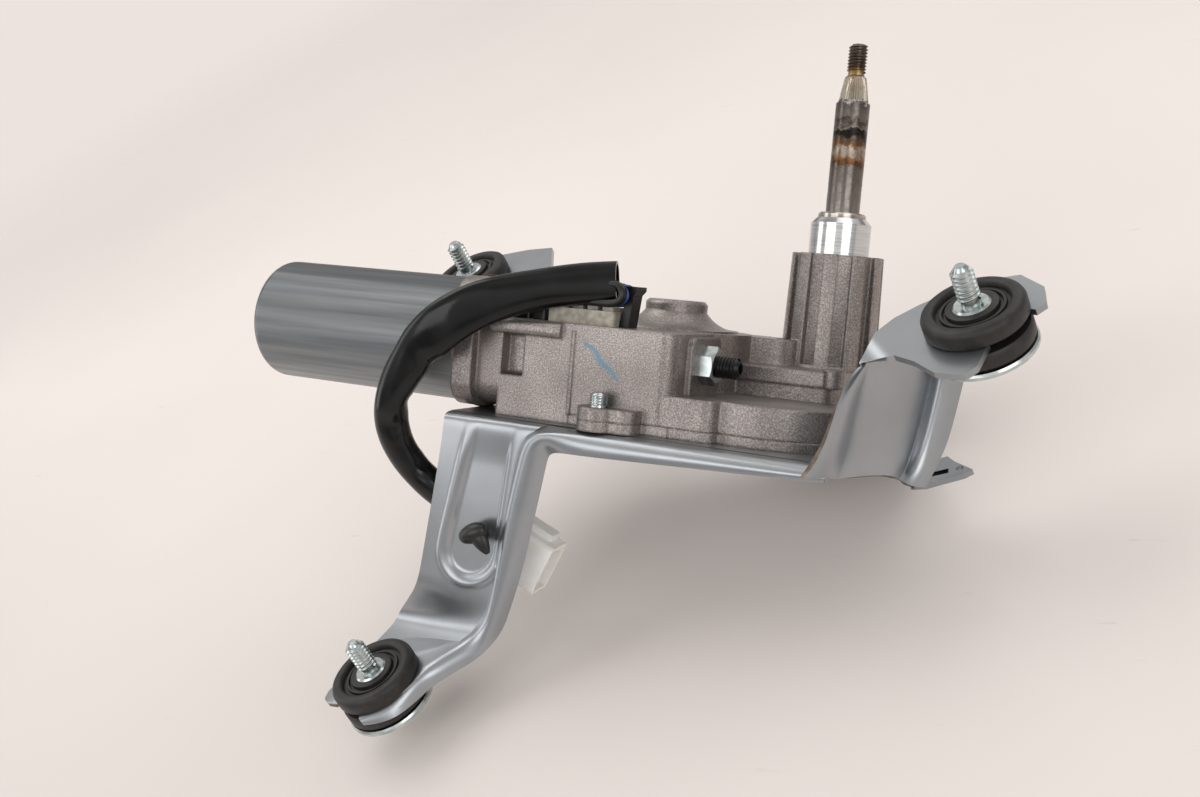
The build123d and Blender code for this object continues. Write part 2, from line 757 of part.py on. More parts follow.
# Connector at the end of the lead, behind the front arm, and the clip that holds it there
plug_width, plug_height, plug_length = 12.0, 17.0, 24.0
clip_radius = 2.6
plug_start = in_gear(-86.3, -58.6, -37.4)
plug_way = (in_gear(-64.5, -55.7, -47.0) - plug_start).normalized()
plug_across = (gear.y_dir - plug_way * gear.y_dir.dot(plug_way)).normalized()
plug = Plane(origin=plug_start, x_dir=plug_across, z_dir=plug_way)
snap = Plane(
    origin=plug.from_local_coords((-plug_width / 2, 4.4, 4.2)),
    x_dir=plug_way,
    z_dir=-plug_across,
)

# Sheet bracket. Each bent panel runs between two edges, given as pairs of end points.
def run_between(first, second):
    """Direction from the middle of one edge to the middle of the next."""
    return (Vector(*second[0]) + Vector(*second[1]) - Vector(*first[0]) - Vector(*first[1])) * 0.5


def edge_plane(edge, run):
    """Plane that cuts the sheet along one edge, square to the way the panel runs."""
    line = (Vector(*edge[1]) - Vector(*edge[0])).normalized()
    across = run.normalized() - line * run.normalized().dot(line)
    middle = (Vector(*edge[0]) + Vector(*edge[1])) * 0.5
    return Plane(origin=middle, x_dir=line, z_dir=across)


def edge_length(edge):
    return (Vector(*edge[1]) - Vector(*edge[0])).length


right_plate_z = -fork_drop - sheet / 2
front_plate_z = front_z - fork_drop - sheet / 2
back_plate_z = back_z - fork_drop - sheet / 2
sheet_middle = -sheet / 2
foot_z = -54.0

# Edges of the front arm, from the base plate down to the fork
front_arm_edges = [
    (in_gear(-91.5, -77.6, sheet_middle), in_gear(-56.5, -77.6, sheet_middle)),
    (in_gear(-93.2, -76.6, -15.0), in_gear(-61.3, -76.6, -14.5)),
    (in_gear(-103.3, -71.0, -62.5), in_gear(-76.3, -72.5, -61.0)),
    (Vector(-189.0, -76.0, front_plate_z), Vector(-153.5, -80.0, front_plate_z)),
]
# The rolled flange on the right side of that arm
front_flange_edges = [
    (in_gear(-56.5, -77.6, -2.2), in_gear(-52.5, -71.0, -6.5)),
    (in_gear(-61.3, -76.6, -14.5), in_gear(-57.3, -70.0, -16.5)),
    (in_gear(-76.3, -72.5, -61.0), in_gear(-72.3, -66.0, -64.0)),
    (Vector(-153.5, -80.0, front_plate_z), Vector(-148.5, -80.5, front_plate_z - 6.0)),
]
# Corners of the flat right web, and the edges of its two flanges
right_web_corners = [
    in_gear(24.6, -77.6, sheet_middle),
    Vector(-27.4, -13.4, right_plate_z),
    Vector(-18.0, 9.6, right_plate_z),
    Vector(-20.6, 7.6, -27.1),
    in_gear(41.0, -38.5, 0.2),
    in_gear(41.2, -36.3, -7.4),
    in_gear(40.1, -38.3, -7.8),
    in_gear(38.8, -42.0, -5.4),
    in_gear(36.7, -47.6, -3.8),
]
right_front_flange = [
    (in_gear(24.6, -77.6, sheet_middle), in_gear(31.0, -77.6, sheet_middle)),
    (Vector(-27.4, -13.4, right_plate_z), Vector(-21.0, -12.6, right_plate_z)),
]
right_back_flange = [
    (Vector(-28.6, -5.6, foot_z), Vector(-20.2, -3.2, foot_z)),
    (Vector(-27.1, -3.8, -47.9), Vector(-19.0, -0.4, -48.6)),
    (Vector(-20.6, 7.6, -27.1), Vector(-12.0, 13.2, -28.5)),
    (Vector(-18.0, 9.6, right_plate_z), Vector(-10.8, 14.6, right_plate_z)),
]
# Edges of the back arm, from the base plate up to the fork
back_arm_edges = [
    (in_gear(-92.0, 6.5, sheet_middle), in_gear(-62.0, 6.5, sheet_middle)),
    (Vector(-166.0, 45.0, -22.0), Vector(-143.0, 39.0, -25.0)),
    (Vector(-168.0, 54.0, back_plate_z), Vector(-158.0, 38.0, back_plate_z)),
]

with BuildPart() as bracket:
    with BuildSketch(gear.offset(-sheet)):
        with BuildLine():
            Polyline(
                (base_left + 4.5, skirt_front),
                (base_right + 1.0, skirt_front),
                (40.6, -39.0),
                (38.0, -30.0),
                (30.0, 8.0),
                (-60.0, 8.0),
                (-92.0, 8.0),
                (base_left - 2.0, -8.0),
                close=True,
            )
        make_face()
        Circle(11.0, mode=Mode.SUBTRACT)
        with Locations(*lug_places):
            Circle(screw_radius, mode=Mode.SUBTRACT)
    extrude(amount=sheet)
    # Front skirt
    with BuildSketch(upright_plane(0, skirt_front)):
        with BuildLine():
            Polyline(
                (-59.0, 0.0),
                (25.5, 0.0),
                (25.2, -3.4),
                (14.9, -4.7),
                (-8.0, -5.8),
                (-38.5, -7.9),
                (-54.7, -8.2),
                (-59.0, -5.0),
                close=True,
            )
        make_face()
    extrude(amount=-sheet)
    # Right web, on the plane through its first three corners
    web_up, web_along = (corner - right_web_corners[0] for corner in right_web_corners[1:3])
    right_web = Plane(origin=right_web_corners[0], x_dir=web_along, z_dir=web_along.cross(web_up))
    with BuildSketch(right_web):
        with BuildLine():
            flat = [right_web.to_local_coords(corner) for corner in right_web_corners]
            Polyline(*[(corner.X, corner.Y) for corner in flat], close=True)
        make_face()
    extrude(amount=sheet / 2, both=True)
    for edges in (front_arm_edges, front_flange_edges, right_front_flange, right_back_flange,
                  back_arm_edges):
        for first, second in zip(edges, edges[1:]):
            run = run_between(first, second)
            with BuildSketch(edge_plane(first, run)):
                Rectangle(edge_length(first), sheet)
            with BuildSketch(edge_plane(second, run)):
                Rectangle(edge_length(second), sheet)
            loft(ruled=True)
    # Front fork plate
    with BuildSketch(Plane.XY.offset(front_plate_z - sheet / 2)):
        with BuildLine():
            Polyline(
                (-189.2, -75.0),
                (-194.5, -98.9),
                (-190.0, -104.0),
                (-180.0, -107.0),
                (-163.7, -108.5),
                (-156.1, -94.0),
                (-149.5, -82.0),
                (-151.0, -78.5),
                (-189.0, -74.5),
                close=True,
            )
        make_face()
        with Locations(Location((front_x, front_y, 0), -67.0)):
            Circle(fork_slot / 2, mode=Mode.SUBTRACT)
            with Locations((15.0, 0)):
                Rectangle(30.0, fork_slot, mode=Mode.SUBTRACT)
    extrude(amount=sheet)
    # Right fork plate
    with BuildSketch(Plane.XY.offset(right_plate_z - sheet / 2)):
        with BuildLine():
            Polyline(
                (-28.0, -14.0),
                (-27.6, -0.6),
                (-24.0, 5.5),
                (-18.5, 10.5),
                (-6.0, 19.0),
                (7.0, 20.0),
                (14.5, 13.0),
                (16.5, 5.5),
                (5.5, -9.0),
                (4.6, -19.6),
                (2.1, -22.8),
                (-6.0, -20.8),
                (-12.7, -15.3),
                (-19.0, -11.9),
                close=True,
            )
        make_face()
        with Locations(Location((0, 0, 0), -20.0)):
            Circle(fork_slot / 2, mode=Mode.SUBTRACT)
            with Locations((15.0, 0)):
                Rectangle(30.0, fork_slot, mode=Mode.SUBTRACT)
    extrude(amount=sheet)
    # Back fork plate
    with BuildSketch(Plane.XY.offset(back_plate_z - sheet / 2)):
        with BuildLine():
            Polyline(
                (-196.0, 21.0),
                (-176.0, 21.0),
                (-160.0, 30.0),
                (-155.0, 42.0),
                (-162.3, 55.7),
                (-173.4, 57.0),
                (-196.0, 56.0),
                close=True,
            )
        make_face()
        with Locations(Location((back_x, back_y, 0), 180.0)):
            Circle(fork_slot / 2, mode=Mode.SUBTRACT)
            with Locations((15.0, 0)):
                Rectangle(30.0, fork_slot, mode=Mode.SUBTRACT)
    extrude(amount=sheet)
    # Foot tab that the back flange ends in
    with BuildSketch(Plane.XY.offset(foot_z - sheet / 2)):
        with BuildLine():
            Polyline(
                (-29.9, -8.4),
                (-25.6, -8.4),
                (-15.2, -4.2),
                (-13.2, -2.4),
                (-19.2, 1.2),
                (-21.9, 3.6),
                (-28.6, 0.6),
                close=True,
            )
        make_face()
        with Locations((-16.9, -1.9)):
            Circle(1.0, mode=Mode.SUBTRACT)
    extrude(amount=sheet)
    # Hole that the connector clip snaps into
    with BuildSketch(snap):
        Circle(clip_radius + 0.4)
    extrude(amount=20.0, mode=Mode.SUBTRACT)
bracket.part.label = "bracket"
print("bracket solids", len(bracket.part.solids()), "volume", round(bracket.part.volume, 1))
export_step(bracket.part, "parts/bracket.step")

# Rubber mounts: an upper and a lower disc joined by a neck that sits in the fork
mount_places = {
    "right": (0.0, 0.0, 0.0),
    "front": (front_x, front_y, front_z),
    "back": (back_x, back_y, back_z),
}
plate_gap = 0.2
upper_disc_bottom = -fork_drop + plate_gap
lower_disc_top = -fork_drop - sheet - plate_gap
lower_disc_bottom = lower_disc_top - grommet_disc
neck_radius = fork_slot / 2 - 0.1


def mount_section(x, y, z):
    return Plane(origin=(x, y, z), x_dir=(1, 0, 0), z_dir=(0, -1, 0))


for place, spot in mount_places.items():
    with BuildPart() as grommet:
        with BuildSketch(mount_section(*spot)):
            with BuildLine():
                Polyline(
                    (sleeve_radius, -0.4),
                    (sleeve_radius + 2.2, -0.4),
                    (sleeve_radius + 2.8, -0.3 - grommet_recess_depth),
                    (grommet_recess_radius, -0.3 - grommet_recess_depth),
                    (grommet_recess_radius + 0.5, -0.3),
                    (grommet_radius - 1.2, -0.3),
                    (grommet_radius, -1.5),
                    (grommet_radius, upper_disc_bottom),
                    (neck_radius, upper_disc_bottom),
                    (neck_radius, lower_disc_top),
                    (grommet_radius, lower_disc_top),
                    (grommet_radius, lower_disc_bottom + 1.0),
                    (grommet_radius - 1.0, lower_disc_bottom),
                    (sleeve_radius, lower_disc_bottom),
                    close=True,
                )
            make_face()
        revolve(axis=Axis(spot, (0, 0, 1)))
    grommet.part.label = f"grommet_{place}"
    export_step(grommet.part, f"parts/grommet_{place}.step")

# Spacer sleeves inside the rubber, and the studs with their broad heads
with BuildPart() as mount_sleeves:
    for spot in mount_places.values():
        with BuildSketch(mount_section(*spot)):
            with BuildLine():
                Polyline(
                    (stud_shank_radius, 0),
                    (sleeve_radius - 0.5, 0),
                    (sleeve_radius, -0.5),
                    (sleeve_radius, lower_disc_bottom - 0.2),
                    (stud_shank_radius, lower_disc_bottom - 0.2),
                    close=True,
                )
            make_face()
        revolve(axis=Axis(spot, (0, 0, 1)))
mount_sleeves.part.label = "mount_sleeves"
export_step(mount_sleeves.part, "parts/mount_sleeves.step")

washer_top = lower_disc_bottom - 0.2
with BuildPart() as mount_washers:
    for spot in mount_places.values():
        with BuildSketch(mount_section(*spot)):
            with BuildLine():
                Polyline(
                    (stud_shank_radius, washer_top),
                    (stud_head_radius + 1.0, washer_top),
                    (stud_head_radius + 1.4, washer_top - 0.6),
                    (stud_head_radius + 1.4, washer_top - 1.5),
                    (stud_shank_radius, washer_top - 1.5),
                    close=True,
                )
            make_face()
        revolve(axis=Axis(spot, (0, 0, 1)))
mount_washers.part.label = "mount_washers"
export_step(mount_washers.part, "parts/mount_washers.step")

with BuildPart() as mount_studs:
    for spot in mount_places.values():
        with BuildSketch(mount_section(*spot)):
            with BuildLine():
                Polyline(
                    (0, washer_top - 1.5 - stud_head_thickness),
                    (4.6, washer_top - 1.5 - stud_head_thickness),
                    (5.2, washer_top - 2.2),
                    (5.2, washer_top - 1.5),
                    (stud_shank_radius, washer_top - 1.5),
                    (stud_shank_radius, 0),
                    (stud_radius, 0),
                    (stud_radius, stud_length - 3.2),
                    (stud_radius - 0.5, stud_length - 1.2),
                    (stud_radius - 1.6, stud_length),
                    (0, stud_length),
                    close=True,
                )
            make_face()
        revolve(axis=Axis(spot, (0, 0, 1)))
mount_studs.part.label = "mount_studs"
export_step(mount_studs.part, "parts/mount_studs.step")

# Terminal block on top of the worm box, with its clip and the posts beside it
with BuildPart() as terminal_block:
    with BuildSketch(gear.offset(housing_top)):
        with Locations((-56.5, -57.5)):
            RectangleRounded(22.0, 13.0, 1.0)
    extrude(amount=4.4)
    with BuildSketch(gear.offset(housing_top + 4.4)):
        for x in (-63.5, -58.5, -53.5, -48.5):
            with Locations((x, -57.5)):
                Rectangle(3.4, 9.0)
    extrude(amount=1.2)
terminal_block.part.label = "terminal_block"
export_step(terminal_block.part, "parts/terminal_block.step")

with BuildPart() as terminal_posts:
    for x, width in ((-76.9, 5.6), (-70.8, 4.2)):
        with BuildSketch(gear.offset(housing_top)):
            with Locations((x, -59.0)):
                RectangleRounded(width, 9.0, 0.8)
        extrude(amount=4.0)
terminal_posts.part.label = "terminal_posts"
export_step(terminal_posts.part, "parts/terminal_posts.step")

with BuildPart() as terminal_clip:
    with BuildSketch(upright_plane(0, -60.0)):
        with BuildLine():
            Polyline(
                (-45.4, housing_top),
                (-42.4, housing_top),
                (-41.4, housing_top + 9.6),
                (-40.2, housing_top + 11.0),
                (-40.2, housing_top + 12.2),
                (-45.8, housing_top + 12.2),
                (-45.8, housing_top + 11.0),
                (-43.6, housing_top + 10.2),
                close=True,
            )
        make_face()
    extrude(amount=-6.0)
terminal_clip.part.label = "terminal_clip"
export_step(terminal_clip.part, "parts/terminal_clip.step")

# Lead: a black sleeve over the wires, from the terminal block round the can to the connector
tube_radius = 5.0
wire_radius = 1.1
route_bend = 24.0
route = [
    in_gear(-47.0, -60.0, 42.7),
    in_gear(-66.0, -66.0, 40.6),
    in_gear(-90.5, -82.2, 30.0),
    in_gear(-112.0, -78.0, 7.0),
    in_gear(-117.5, -70.0, -13.0),
    plug.from_local_coords((0, 0, -16.0)),
    plug_start,
]
with BuildLine() as tube_path:
    FilletPolyline(*route, radius=route_bend)
start = tube_path.line @ 0
with BuildPart() as harness_tube:
    with BuildSketch(Plane(origin=start, z_dir=tube_path.line % 0)):
        Circle(tube_radius)
        Circle(tube_radius - 0.9, mode=Mode.SUBTRACT)
    sweep(path=tube_path.line)
harness_tube.part.label = "harness_tube"
export_step(harness_tube.part, "parts/harness_tube.step")
print("tube length", round(sum(edge.length for edge in tube_path.line.edges()), 1), "bend radius", route_bend)

with BuildPart() as harness_wires:
    with BuildSketch(Plane(origin=start, x_dir=gear.x_dir, z_dir=tube_path.line % 0)):
        with PolarLocations(2.2, 4, start_angle=45):
            Circle(wire_radius)
    sweep(path=tube_path.line)
harness_wires.part.label = "harness_wires"
export_step(harness_wires.part, "parts/harness_wires.step")

with BuildPart() as connector:
    with BuildSketch(plug):
        RectangleRounded(plug_width, plug_height, 2.0)
    extrude(amount=plug_length)
    with BuildSketch(plug.offset(plug_length)):
        RectangleRounded(plug_width - 2.4, plug_height - 2.4, 1.2)
    extrude(amount=-12.0, mode=Mode.SUBTRACT)
    # Latch bar along one side
    with BuildSketch(plug.offset(8.0)):
        with Locations((1.0, plug_height / 2 + 0.9)):
            Rectangle(6.0, 2.2)
    extrude(amount=13.0)
connector.part.label = "connector"
export_step(connector.part, "parts/connector.step")

with BuildPart() as connector_pins:
    with BuildSketch(plug.offset(plug_length - 12.0)):
        for place in ((-1.8, -3.6), (-1.8, 0), (-1.8, 3.6), (1.8, 0)):
            with Locations(place):
                Rectangle(0.8, 2.2)
    extrude(amount=6.0)
connector_pins.part.label = "connector_pins"
export_step(connector_pins.part, "parts/connector_pins.step")

clip_reach = 12.9
with BuildPart() as connector_clip:
    with BuildSketch(snap):
        Circle(clip_radius)
    extrude(amount=clip_reach + 3.6)
    with BuildSketch(snap.offset(clip_reach)):
        with BuildLine():
            Polyline((-5.4, -1.2), (4.0, 3.9), (4.4, -5.2), (1.0, -2.8), close=True)
        make_face()
    extrude(amount=3.6)
connector_clip.part.label = "connector_clip"
export_step(connector_clip.part, "parts/connector_clip.step")
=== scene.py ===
# %% [markdown]
# # A rear wiper motor, dressed for its photograph
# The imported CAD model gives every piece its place. This file adds what CAD leaves out:
# threads, rolled sheet edges, a creased sleeve, cast grain, rubber, zinc and worn steel.
# All lengths below are millimetres in the gearbox's own frame until `at()` turns them
# into Blender's metres.

# %% Load the frame
import json
from math import cos, pi, radians, sin

import bpy
from mathutils import Matrix, Vector


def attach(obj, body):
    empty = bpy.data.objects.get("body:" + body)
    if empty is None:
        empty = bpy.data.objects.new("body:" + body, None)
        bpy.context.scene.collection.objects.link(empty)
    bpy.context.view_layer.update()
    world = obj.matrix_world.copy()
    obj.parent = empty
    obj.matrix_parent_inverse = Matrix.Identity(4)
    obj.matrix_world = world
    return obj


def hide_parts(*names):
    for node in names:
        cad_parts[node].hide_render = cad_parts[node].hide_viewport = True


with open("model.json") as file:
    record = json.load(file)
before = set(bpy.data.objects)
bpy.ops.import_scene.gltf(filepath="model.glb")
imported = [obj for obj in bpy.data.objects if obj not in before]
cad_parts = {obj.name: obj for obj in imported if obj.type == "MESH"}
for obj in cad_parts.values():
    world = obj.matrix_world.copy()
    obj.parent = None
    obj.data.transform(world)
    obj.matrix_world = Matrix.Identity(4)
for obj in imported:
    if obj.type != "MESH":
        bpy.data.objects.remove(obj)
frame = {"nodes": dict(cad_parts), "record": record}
bpy.ops.object.select_all(action="DESELECT")
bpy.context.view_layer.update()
print("nodes in the frame:", len(frame["nodes"]))

# %% [markdown]
# The gearbox leans back on its mounts and the motor end rises to the left. One set of axes,
# the same as in the CAD, turns a place on the gearbox into a place in the scene.

# %% Gearbox axes
lean, dip = radians(36.0), radians(13.0)
along_motor = Vector((cos(dip), 0, -sin(dip)))
up_spindle = Vector((cos(lean) * sin(dip), sin(lean), cos(lean) * cos(dip)))
to_back = up_spindle.cross(along_motor)
gear_origin = Vector((-72.2, 27.2, -60.9))
gear_turn = Matrix((along_motor, to_back, up_spindle)).to_euler()


def at(x, y, z):
    """A gearbox place in millimetres as a scene place in metres."""
    return (gear_origin + along_motor * x + to_back * y + up_spindle * z) / 1000


def here(x, y, z):
    """A place in the frame of the mounts, in millimetres, as a scene place in metres."""
    return Vector((x, y, z)) / 1000


# %% [markdown]
# The photograph was taken from the front right, a little above. The camera stands where the
# mounts, the can and the spindle line up with the photograph, with the same field of view.

# %% Camera
bpy.ops.object.camera_add()
camera = bpy.context.object
camera.name = "camera"
camera.data.sensor_width = 36
camera.data.lens = 39.14
camera.data.clip_start = 0.01
camera_right = Vector((0.8145, 0.4220, -0.3980))
camera_up = Vector((0.0612, 0.6198, 0.7824))
camera_back = Vector((0.5769, -0.6617, 0.4790))
camera.matrix_world = Matrix.Translation(here(112.6, -273.3, 176.7)) @ Matrix(
    (camera_right, camera_up, camera_back)
).transposed().to_4x4()
bpy.context.scene.camera = camera

# %% [markdown]
# The largest soft lamp stands high on the left, as in a product photographer's booth. Four
# weaker ones, at the back, front, side and right, open the shadows. The world adds a pale
# light. The background's colour comes from Light Path, so it never adds light to the part.

# %% Lamps
def soft_lamp(name, place, target, size, watts, tint):
    bpy.ops.object.light_add(type="AREA", location=place)
    lamp = bpy.context.object
    lamp.name = name
    lamp.data.shape = "RECTANGLE"
    lamp.data.size, lamp.data.size_y = size
    lamp.data.energy = watts
    lamp.data.color = tint
    lamp.rotation_euler = (Vector(target) - Vector(place)).to_track_quat("-Z", "Y").to_euler()


middle = (-0.09, -0.02, -0.03)
soft_lamp("lamp_left", (-0.62, 0.28, 1.0), middle, (0.75, 0.75), 3.6, (1.0, 0.99, 0.975))
soft_lamp("lamp_back", (0.25, 0.8, 0.8), middle, (0.9, 0.5), 1.6, (1.0, 1.0, 1.0))
soft_lamp("lamp_front", (-0.3, -0.85, 0.6), middle, (0.7, 0.5), 2.0, (0.99, 0.99, 1.0))
soft_lamp("lamp_side", (-0.95, -0.3, 0.35), middle, (0.3, 0.8), 1.1, (1.0, 1.0, 1.0))
soft_lamp("lamp_right", (0.75, -0.5, 0.45), middle, (0.6, 0.6), 2.4, (1.0, 0.995, 0.99))


# %% [markdown]
# Colours are written as the sRGB hex values a paint chart would give. One function turns
# them into the linear values that the shader works in, and one adds a node with its
# settings and links.

# %% Colours and nodes
def linear(hex_colour):
    values = [int(hex_colour[i : i + 2], 16) / 255 for i in (1, 3, 5)]
    return tuple(v / 12.92 if v <= 0.04045 else ((v + 0.055) / 1.055) ** 2.4 for v in values) + (1.0,)


def add_node(tree, kind, inputs=None, **settings):
    """Adds a node; an input takes a value or another node's output socket."""
    node = tree.nodes.new(kind)
    for name, value in settings.items():
        setattr(node, name, value)
    for name, value in (inputs or {}).items():
        socket = node.inputs[name]
        if isinstance(value, bpy.types.NodeSocket):
            tree.links.new(value, socket)
        else:
            socket.default_value = value
    return node


def new_material(name, **shader_values):
    """A material whose Principled shader has the given values on its own sockets."""
    material = bpy.data.materials.new(name)
    material.use_nodes = True
    shader = material.node_tree.nodes["Principled BSDF"]
    for socket, value in shader_values.items():
        shader.inputs[socket.replace("_", " ")].default_value = value
    return material, material.node_tree, shader


def in_gearbox(tree, stretch=(1, 1, 1)):
    """Object coordinates turned so that X runs along the motor and Z up the spindle."""
    place = add_node(tree, "ShaderNodeTexCoord")
    turned = add_node(tree, "ShaderNodeMapping", {"Vector": place.outputs["Object"], "Rotation": gear_turn})
    return add_node(tree, "ShaderNodeMapping", {"Vector": turned.outputs[0], "Scale": stretch})


def ramp(tree, factor, stops):
    node = add_node(tree, "ShaderNodeValToRGB", {"Fac": factor})
    points = node.color_ramp.elements
    while len(points) < len(stops):
        points.new(0.5)
    for point, (position, colour) in zip(points, stops):
        point.position = position
        point.color = linear(colour)
    return node


# %% [markdown]
# **Floor.** The part was photographed on a pale, slightly scuffed white board. The floor
# keeps a soft shadow and has a faint pink-grey tint with a few long scuffs.

# %% Floor
floor_level = here(0, 0, -75.6).z
bpy.ops.mesh.primitive_plane_add(size=8, location=(0, 0, floor_level))
floor = bpy.context.object
floor.name = "floor"
board, tree, shader = new_material("scuffed_white_board", Roughness=0.55)
place = add_node(tree, "ShaderNodeTexCoord")
cloud = add_node(tree, "ShaderNodeTexNoise", {"Vector": place.outputs["Object"], "Scale": 3.0, "Detail": 3.0})
scuff_place = add_node(
    tree, "ShaderNodeMapping",
    {"Vector": place.outputs["Object"], "Scale": (4.0, 30.0, 1.0), "Rotation": (0, 0, 0.9)},
)
scuffs = add_node(
    tree, "ShaderNodeTexNoise",
    {"Vector": scuff_place.outputs[0], "Scale": 6.0, "Detail": 6.0, "Roughness": 0.7},
)
streak = add_node(tree, "ShaderNodeMapRange", {"Value": scuffs.outputs["Fac"], "From Min": 0.66, "From Max": 0.76})
tone = ramp(tree, cloud.outputs["Fac"], [(0.3, "#e6ddd8"), (0.7, "#ece4df")])
marked = add_node(
    tree, "ShaderNodeMix", {"Factor": streak.outputs[0], 6: tone.outputs["Color"], 7: linear("#d6cbc4")},
    data_type="RGBA",
)
# Painted shade: the board's colour is scaled darker towards the camera (lower Y), down to 0.78 of its tone at the near
# side.
parts = add_node(tree, "ShaderNodeSeparateXYZ", {0: place.outputs["Object"]})
painted_front_shade = add_node(
    tree, "ShaderNodeMapRange",
    {"Value": parts.outputs["Y"], "From Min": -0.3, "From Max": 0.12, "To Min": 0.78, "To Max": 1.0},
)
shaded_board_tone = add_node(tree, "ShaderNodeVectorMath", {0: marked.outputs[2]}, operation="SCALE")
tree.links.new(painted_front_shade.outputs[0], shaded_board_tone.inputs["Scale"])
tree.links.new(shaded_board_tone.outputs[0], shader.inputs["Base Color"])
# Far from the part the board fades into the background, so no horizon shows.
length = add_node(tree, "ShaderNodeVectorMath", {0: place.outputs["Object"]}, operation="LENGTH")
far = add_node(
    tree, "ShaderNodeMapRange", {"Value": length.outputs["Value"], "From Min": 0.55, "From Max": 1.5},
    interpolation_type="SMOOTHSTEP",
)
clear = add_node(tree, "ShaderNodeBsdfTransparent")
path = add_node(tree, "ShaderNodeLightPath")
fading = add_node(tree, "ShaderNodeMath", {0: far.outputs[0], 1: path.outputs["Is Camera Ray"]}, operation="MULTIPLY")
mixed = add_node(tree, "ShaderNodeMixShader", {0: fading.outputs[0], 1: shader.outputs[0], 2: clear.outputs[0]})
tree.links.new(mixed.outputs[0], tree.nodes["Material Output"].inputs["Surface"])
floor.data.materials.append(board)

world = bpy.data.worlds.new("booth")
bpy.context.scene.world = world
world.use_nodes = True
tree = world.node_tree
tree.nodes.clear()
path = add_node(tree, "ShaderNodeLightPath")
direction = add_node(tree, "ShaderNodeTexCoord")
parts = add_node(tree, "ShaderNodeSeparateXYZ", {0: direction.outputs["Generated"]})
sky = ramp(tree, parts.outputs["Z"], [(0.0, "#b4b2b2"), (0.3, "#c4c2c1"), (0.62, "#dedcda"), (1.0, "#f4f1ee")])
# The studio is not even: a few darker patches give polished metal something to reflect.
patches = add_node(tree, "ShaderNodeTexNoise", {"Vector": direction.outputs["Generated"], "Scale": 1.7, "Detail": 0.0})
uneven = add_node(
    tree, "ShaderNodeMapRange",
    {"Value": patches.outputs["Fac"], "From Min": 0.36, "From Max": 0.6, "To Min": 0.62, "To Max": 1.28},
)
lit = add_node(tree, "ShaderNodeBackground", {"Color": sky.outputs["Color"], "Strength": uneven.outputs[0]})
seen = add_node(tree, "ShaderNodeBackground", {"Color": linear("#ece2de"), "Strength": 1.0})
mixed = add_node(
    tree, "ShaderNodeMixShader",
    {0: path.outputs["Is Camera Ray"], 1: lit.outputs[0], 2: seen.outputs[0]},
)
add_node(tree, "ShaderNodeOutputWorld", {"Surface": mixed.outputs[0]})
bpy.context.scene.view_settings.view_transform = "Standard"

# %% [markdown]
# ## Finishes
# ** Zinc-plated sheet.** The bracket is pressed from steel sheet and plated in a blue-white
# zinc. It is satin rather than shiny, with a faint cloudiness from the bath.

# %% Zinc-plated sheet
zinc_sheet, tree, shader = new_material("zinc_plated_sheet", Metallic=0.9, Roughness=0.31)
place = in_gearbox(tree)
cloud = add_node(
    tree, "ShaderNodeTexNoise", {"Vector": place.outputs[0], "Scale": 38.0, "Detail": 4.0, "Roughness": 0.6},
)
tone = ramp(tree, cloud.outputs["Fac"], [(0.3, "#9b9fa3"), (0.7, "#a8abae")])
tree.links.new(tone.outputs["Color"], shader.inputs["Base Color"])
# Rolling marks are a few hundredths of a millimetre apart; drawn at 0.5 mm so they show.
grain = add_node(tree, "ShaderNodeTexNoise", {"Vector": place.outputs[0], "Scale": 2000.0, "Detail": 1.0})
dents = add_node(tree, "ShaderNodeBump", {"Height": grain.outputs["Fac"], "Strength": 0.04, "Distance": 0.0002})
tree.links.new(dents.outputs["Normal"], shader.inputs["Normal"])

# %% [markdown]
# **Sheared edge.** Where the press cut the sheet, the plating is thin and the steel has
# browned a little.

# %% Sheared edge
sheared_edge, tree, shader = new_material("sheared_sheet_edge", Metallic=0.6, Roughness=0.5)
place = in_gearbox(tree)
cloud = add_node(tree, "ShaderNodeTexNoise", {"Vector": place.outputs[0], "Scale": 240.0, "Detail": 3.0})
tone = ramp(tree, cloud.outputs["Fac"], [(0.3, "#5a4a40"), (0.5, "#77695f"), (0.72, "#93887f")])
tree.links.new(tone.outputs["Color"], shader.inputs["Base Color"])

# %% [markdown]
# **Drawn can.** The motor can is deep drawn from galvanised sheet, so fine lines run along
# it. It is a greyer blue than the bracket and a little duller.

# %% Galvanised can
galvanised, tree, shader = new_material("drawn_galvanised_steel", Metallic=0.8, Roughness=0.42)
lines_place = in_gearbox(tree, (12, 420, 420))
lines = add_node(tree, "ShaderNodeTexNoise", {"Vector": lines_place.outputs[0], "Scale": 1.0, "Detail": 3.0})
tone = ramp(tree, lines.outputs["Fac"], [(0.32, "#666a6d"), (0.5, "#75787a"), (0.7, "#848686")])
# Painted reflection and shade: the can's underside is painted paler, as if the bright floor reflected in it, and its
# top is painted darker. Z runs up the spindle.
height = add_node(tree, "ShaderNodeSeparateXYZ", {0: in_gearbox(tree).outputs[0]})
painted_floor_reflection = add_node(
    tree, "ShaderNodeMapRange",
    {"Value": height.outputs["Z"], "From Min": -0.042, "From Max": -0.012, "To Min": 1.55, "To Max": 0.72},
)
reflection_shaded_tone = add_node(tree, "ShaderNodeVectorMath", {0: tone.outputs["Color"]}, operation="SCALE")
tree.links.new(painted_floor_reflection.outputs[0], reflection_shaded_tone.inputs["Scale"])
tree.links.new(reflection_shaded_tone.outputs[0], shader.inputs["Base Color"])
dents = add_node(tree, "ShaderNodeBump", {"Height": lines.outputs["Fac"], "Strength": 0.08, "Distance": 0.0003})
tree.links.new(dents.outputs["Normal"], shader.inputs["Normal"])

# %% [markdown]
# **Shot-blasted die casting.** The gear housing is taken to be an aluminium die casting,
# blasted afterwards. Its skin is a warm grey with bright pinhead sparkles, about 0.4 mm across.

